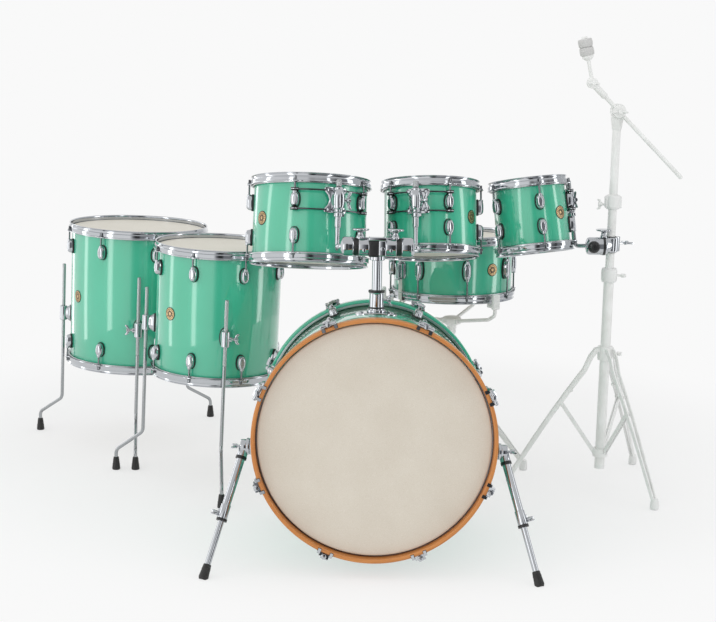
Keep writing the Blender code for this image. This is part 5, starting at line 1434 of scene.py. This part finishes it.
turn(metal, [(0.0, -0.034), (0.0205, -0.034), (0.025, -0.029), (0.025, 0.017), (0.0228, 0.023),
             (0.016, 0.0262), (0.01, 0.0262), (0.01, 0.022), (0.0145, 0.0175), (0.0145, -0.015),
             (0.0, -0.016)], across_ball, 44, 0.0012)
turn(dark, [(0.0, 0.017), (0.0168, 0.017), (0.0172, 0.026), (0.015, 0.031), (0.009, 0.0345), (0.0, 0.0352)],
     Matrix.Translation(clamp_ball + Vector((-0.007, 0.0, 0.0))) @ facing_out, 40, 0.002)
turn(dark, [(0.024, -0.027), (0.0256, -0.027), (0.0256, -0.02), (0.024, -0.02)], across_ball, 40, 0.0006)
turn(dark, [(0.0125, -0.0235), (0.015, -0.0235), (0.015, 0.0235), (0.0125, 0.0235)], ring_place, 36, 0.0008)
holder_knob(metal, Matrix.Translation(clamp_place.lerp(clamp_ball, 0.5)))
piece("tom8_clamp_chrome", metal, bright_chrome, "tom8_clamp", "tom8_clamp")
piece("tom8_clamp_nylon", dark, black_nylon, "tom8_clamp", slot="tom8_clamp")


# Floor, backdrop and light
# A plain pale studio floor that fades into the backdrop, lit by soft boxes at both sides and overhead.
KIT_CENTRE = (0.0, 0.45, 0.0)
FLOOR_RADIUS = 1.85
FADE_FROM = 0.95
FADE_TO = 1.75
FADE_LEAST = 0.56
BACKDROP = "#F9F9F9"


def studio_floor(name):
    """Matt white board."""
    material, tree, spot = new_material(name)
    distance = node(tree, "ShaderNodeVectorMath", {"operation": "DISTANCE", 1: KIT_CENTRE},
                    _0=spot).outputs["Value"]
    settings = {"From Min": FADE_FROM, "From Max": FADE_TO, "To Min": FADE_LEAST, "To Max": 1.0,
                "interpolation_type": "SMOOTHSTEP"}
    fade = node(tree, "ShaderNodeMapRange", settings, Value=distance).outputs["Result"]
    board = node(tree, "ShaderNodeBsdfDiffuse", {"Color": linear("#F4F4F4")}).outputs["BSDF"]
    glow = node(tree, "ShaderNodeEmission", {"Color": linear(BACKDROP), "Strength": 1.0}).outputs["Emission"]
    seen = node(tree, "ShaderNodeLightPath")
    looked = maths(tree, "MAXIMUM", seen.outputs["Is Camera Ray"], seen.outputs["Is Glossy Ray"])
    either = maths(tree, "MAXIMUM", looked, seen.outputs["Is Transmission Ray"])
    share = maths(tree, "MULTIPLY", fade, either)
    shader = node(tree, "ShaderNodeMixShader", _0=share, _1=board, _2=glow).outputs["Shader"]
    node(tree, "ShaderNodeOutputMaterial", Surface=shader)
    return material


mesh = bmesh.new()
bmesh.ops.create_circle(mesh, cap_ends=True, segments=96, radius=FLOOR_RADIUS,
                        matrix=Matrix.Translation(KIT_CENTRE))
data = bpy.data.meshes.new("floor")
mesh.to_mesh(data)
mesh.free()
data.materials.append(studio_floor("matt_white_board"))
floor = bpy.data.objects.new("floor", data)
scene.collection.objects.link(floor)

world = bpy.data.worlds.new("studio")
scene.world = world
world.use_nodes = True
tree = world.node_tree
tree.nodes.clear()
seen = node(tree, "ShaderNodeLightPath")
heading = node(tree, "ShaderNodeTexCoord").outputs["Generated"]
parts = node(tree, "ShaderNodeSeparateXYZ", Vector=heading)
toward = maths(tree, "MULTIPLY", parts.outputs["Y"], -1.0)
bearing = maths(tree, "ARCTAN2", parts.outputs["X"], toward)
share = node(tree, "ShaderNodeMapRange", {"From Min": -math.pi, "From Max": math.pi},
             Value=bearing).outputs["Result"]
ROOM_STRENGTH = 4.0
AMBIENT_STRENGTH = 0.8
WALL, GREY, DARK, BLACK = "#868686", "#707172", "#47484A", "#1E1F20"
CARD, FRONT_CARD, STRIP = "#8A8A8A", "#8C8C8C", "#F0F0F0"
# Pale strips and darker cards round the room, by degrees from the front, that the chrome mirrors
room_stops = ((-180, WALL), (-146, GREY), (-142, STRIP), (-138, STRIP), (-134, CARD), (-98, CARD),
              (-95, STRIP), (-90, STRIP), (-87, CARD), (-46, CARD), (-43, STRIP), (-38, STRIP),
              (-34, FRONT_CARD), (-6, FRONT_CARD), (-1, DARK), (3, BLACK), (9, BLACK), (12, DARK), (36, DARK),
              (38, STRIP), (41, STRIP), (44, DARK), (60, BLACK), (66, DARK), (80, DARK), (84, STRIP),
              (91, STRIP), (94, GREY), (130, GREY), (146, GREY), (156, WALL))
round_room = ramp(tree, share, *[(degrees / 360 + 0.5, code) for degrees, code in room_stops])
above = node(tree, "ShaderNodeMapRange", {"From Min": 0.42, "From Max": 0.62},
             Value=parts.outputs["Z"]).outputs["Result"]
room = node(tree, "ShaderNodeMix", {"data_type": "RGBA", 7: linear("#7C7C7C")}, _0=above,
            _6=round_room).outputs[2]
mirrored = node(tree, "ShaderNodeBackground", {"Strength": ROOM_STRENGTH}, Color=room).outputs["Background"]
even = {"Color": linear("#FFFFFF"), "Strength": AMBIENT_STRENGTH}
ambient = node(tree, "ShaderNodeBackground", even).outputs["Background"]
plain = {"Color": linear(BACKDROP), "Strength": 1.0}
backdrop = node(tree, "ShaderNodeBackground", plain).outputs["Background"]
glossy = node(tree, "ShaderNodeMixShader", _0=seen.outputs["Is Glossy Ray"], _1=ambient,
              _2=mirrored).outputs["Shader"]
straight = maths(tree, "MAXIMUM", seen.outputs["Is Camera Ray"], seen.outputs["Is Transmission Ray"])
whole = node(tree, "ShaderNodeMixShader", _0=straight, _1=glossy, _2=backdrop).outputs["Shader"]
node(tree, "ShaderNodeOutputWorld", Surface=whole)


def soft_box(name, place, target, wide, tall, power):
    """A rectangular soft box aimed at a point. The room above holds its mirror image."""
    lamp = bpy.data.lights.new(name, "AREA")
    lamp.shape = "RECTANGLE"
    lamp.size = wide
    lamp.size_y = tall
    lamp.energy = power
    item = bpy.data.objects.new(name, lamp)
    scene.collection.objects.link(item)
    item.visible_glossy = False
    item.matrix_world = facing(Vector(place), Vector(place) - Vector(target))


for box in (("left_box", (-2.4, -1.6, 1.5), (0.0, 0.0, 0.5), 1.8, 2.0, 14.0),
            ("front_box", (-0.8, -4.6, 1.7), (0.0, 0.0, 0.5), 3.0, 2.0, 32.0),
            ("right_box", (2.6, -1.4, 1.3), (0.0, 0.0, 0.6), 1.6, 2.0, 6.0),
            ("overhead", (0.0, 0.1, 3.1), (0.0, 0.0, 0.0), 3.2, 2.6, 12.0)):
    soft_box(*box)


# Camera
# It stands where the photograph was taken from, level with the rack toms and tipped down.
CAMERA_AT = shift(0.0624, -4.2632, 1.3158)
CAMERA_TIP = math.radians(79.36)
CAMERA_ROLL = math.radians(1.232)
camera = bpy.data.objects.new("camera", bpy.data.cameras.new("camera"))
scene.collection.objects.link(camera)
camera.matrix_world = CAMERA_AT @ spin(CAMERA_TIP, "X") @ spin(CAMERA_ROLL, "Z")
camera.data.lens = 77.61
camera.data.sensor_width = 36.0
camera.data.clip_end = 60.0
scene.camera = camera
scene.view_settings.view_transform = "Standard"
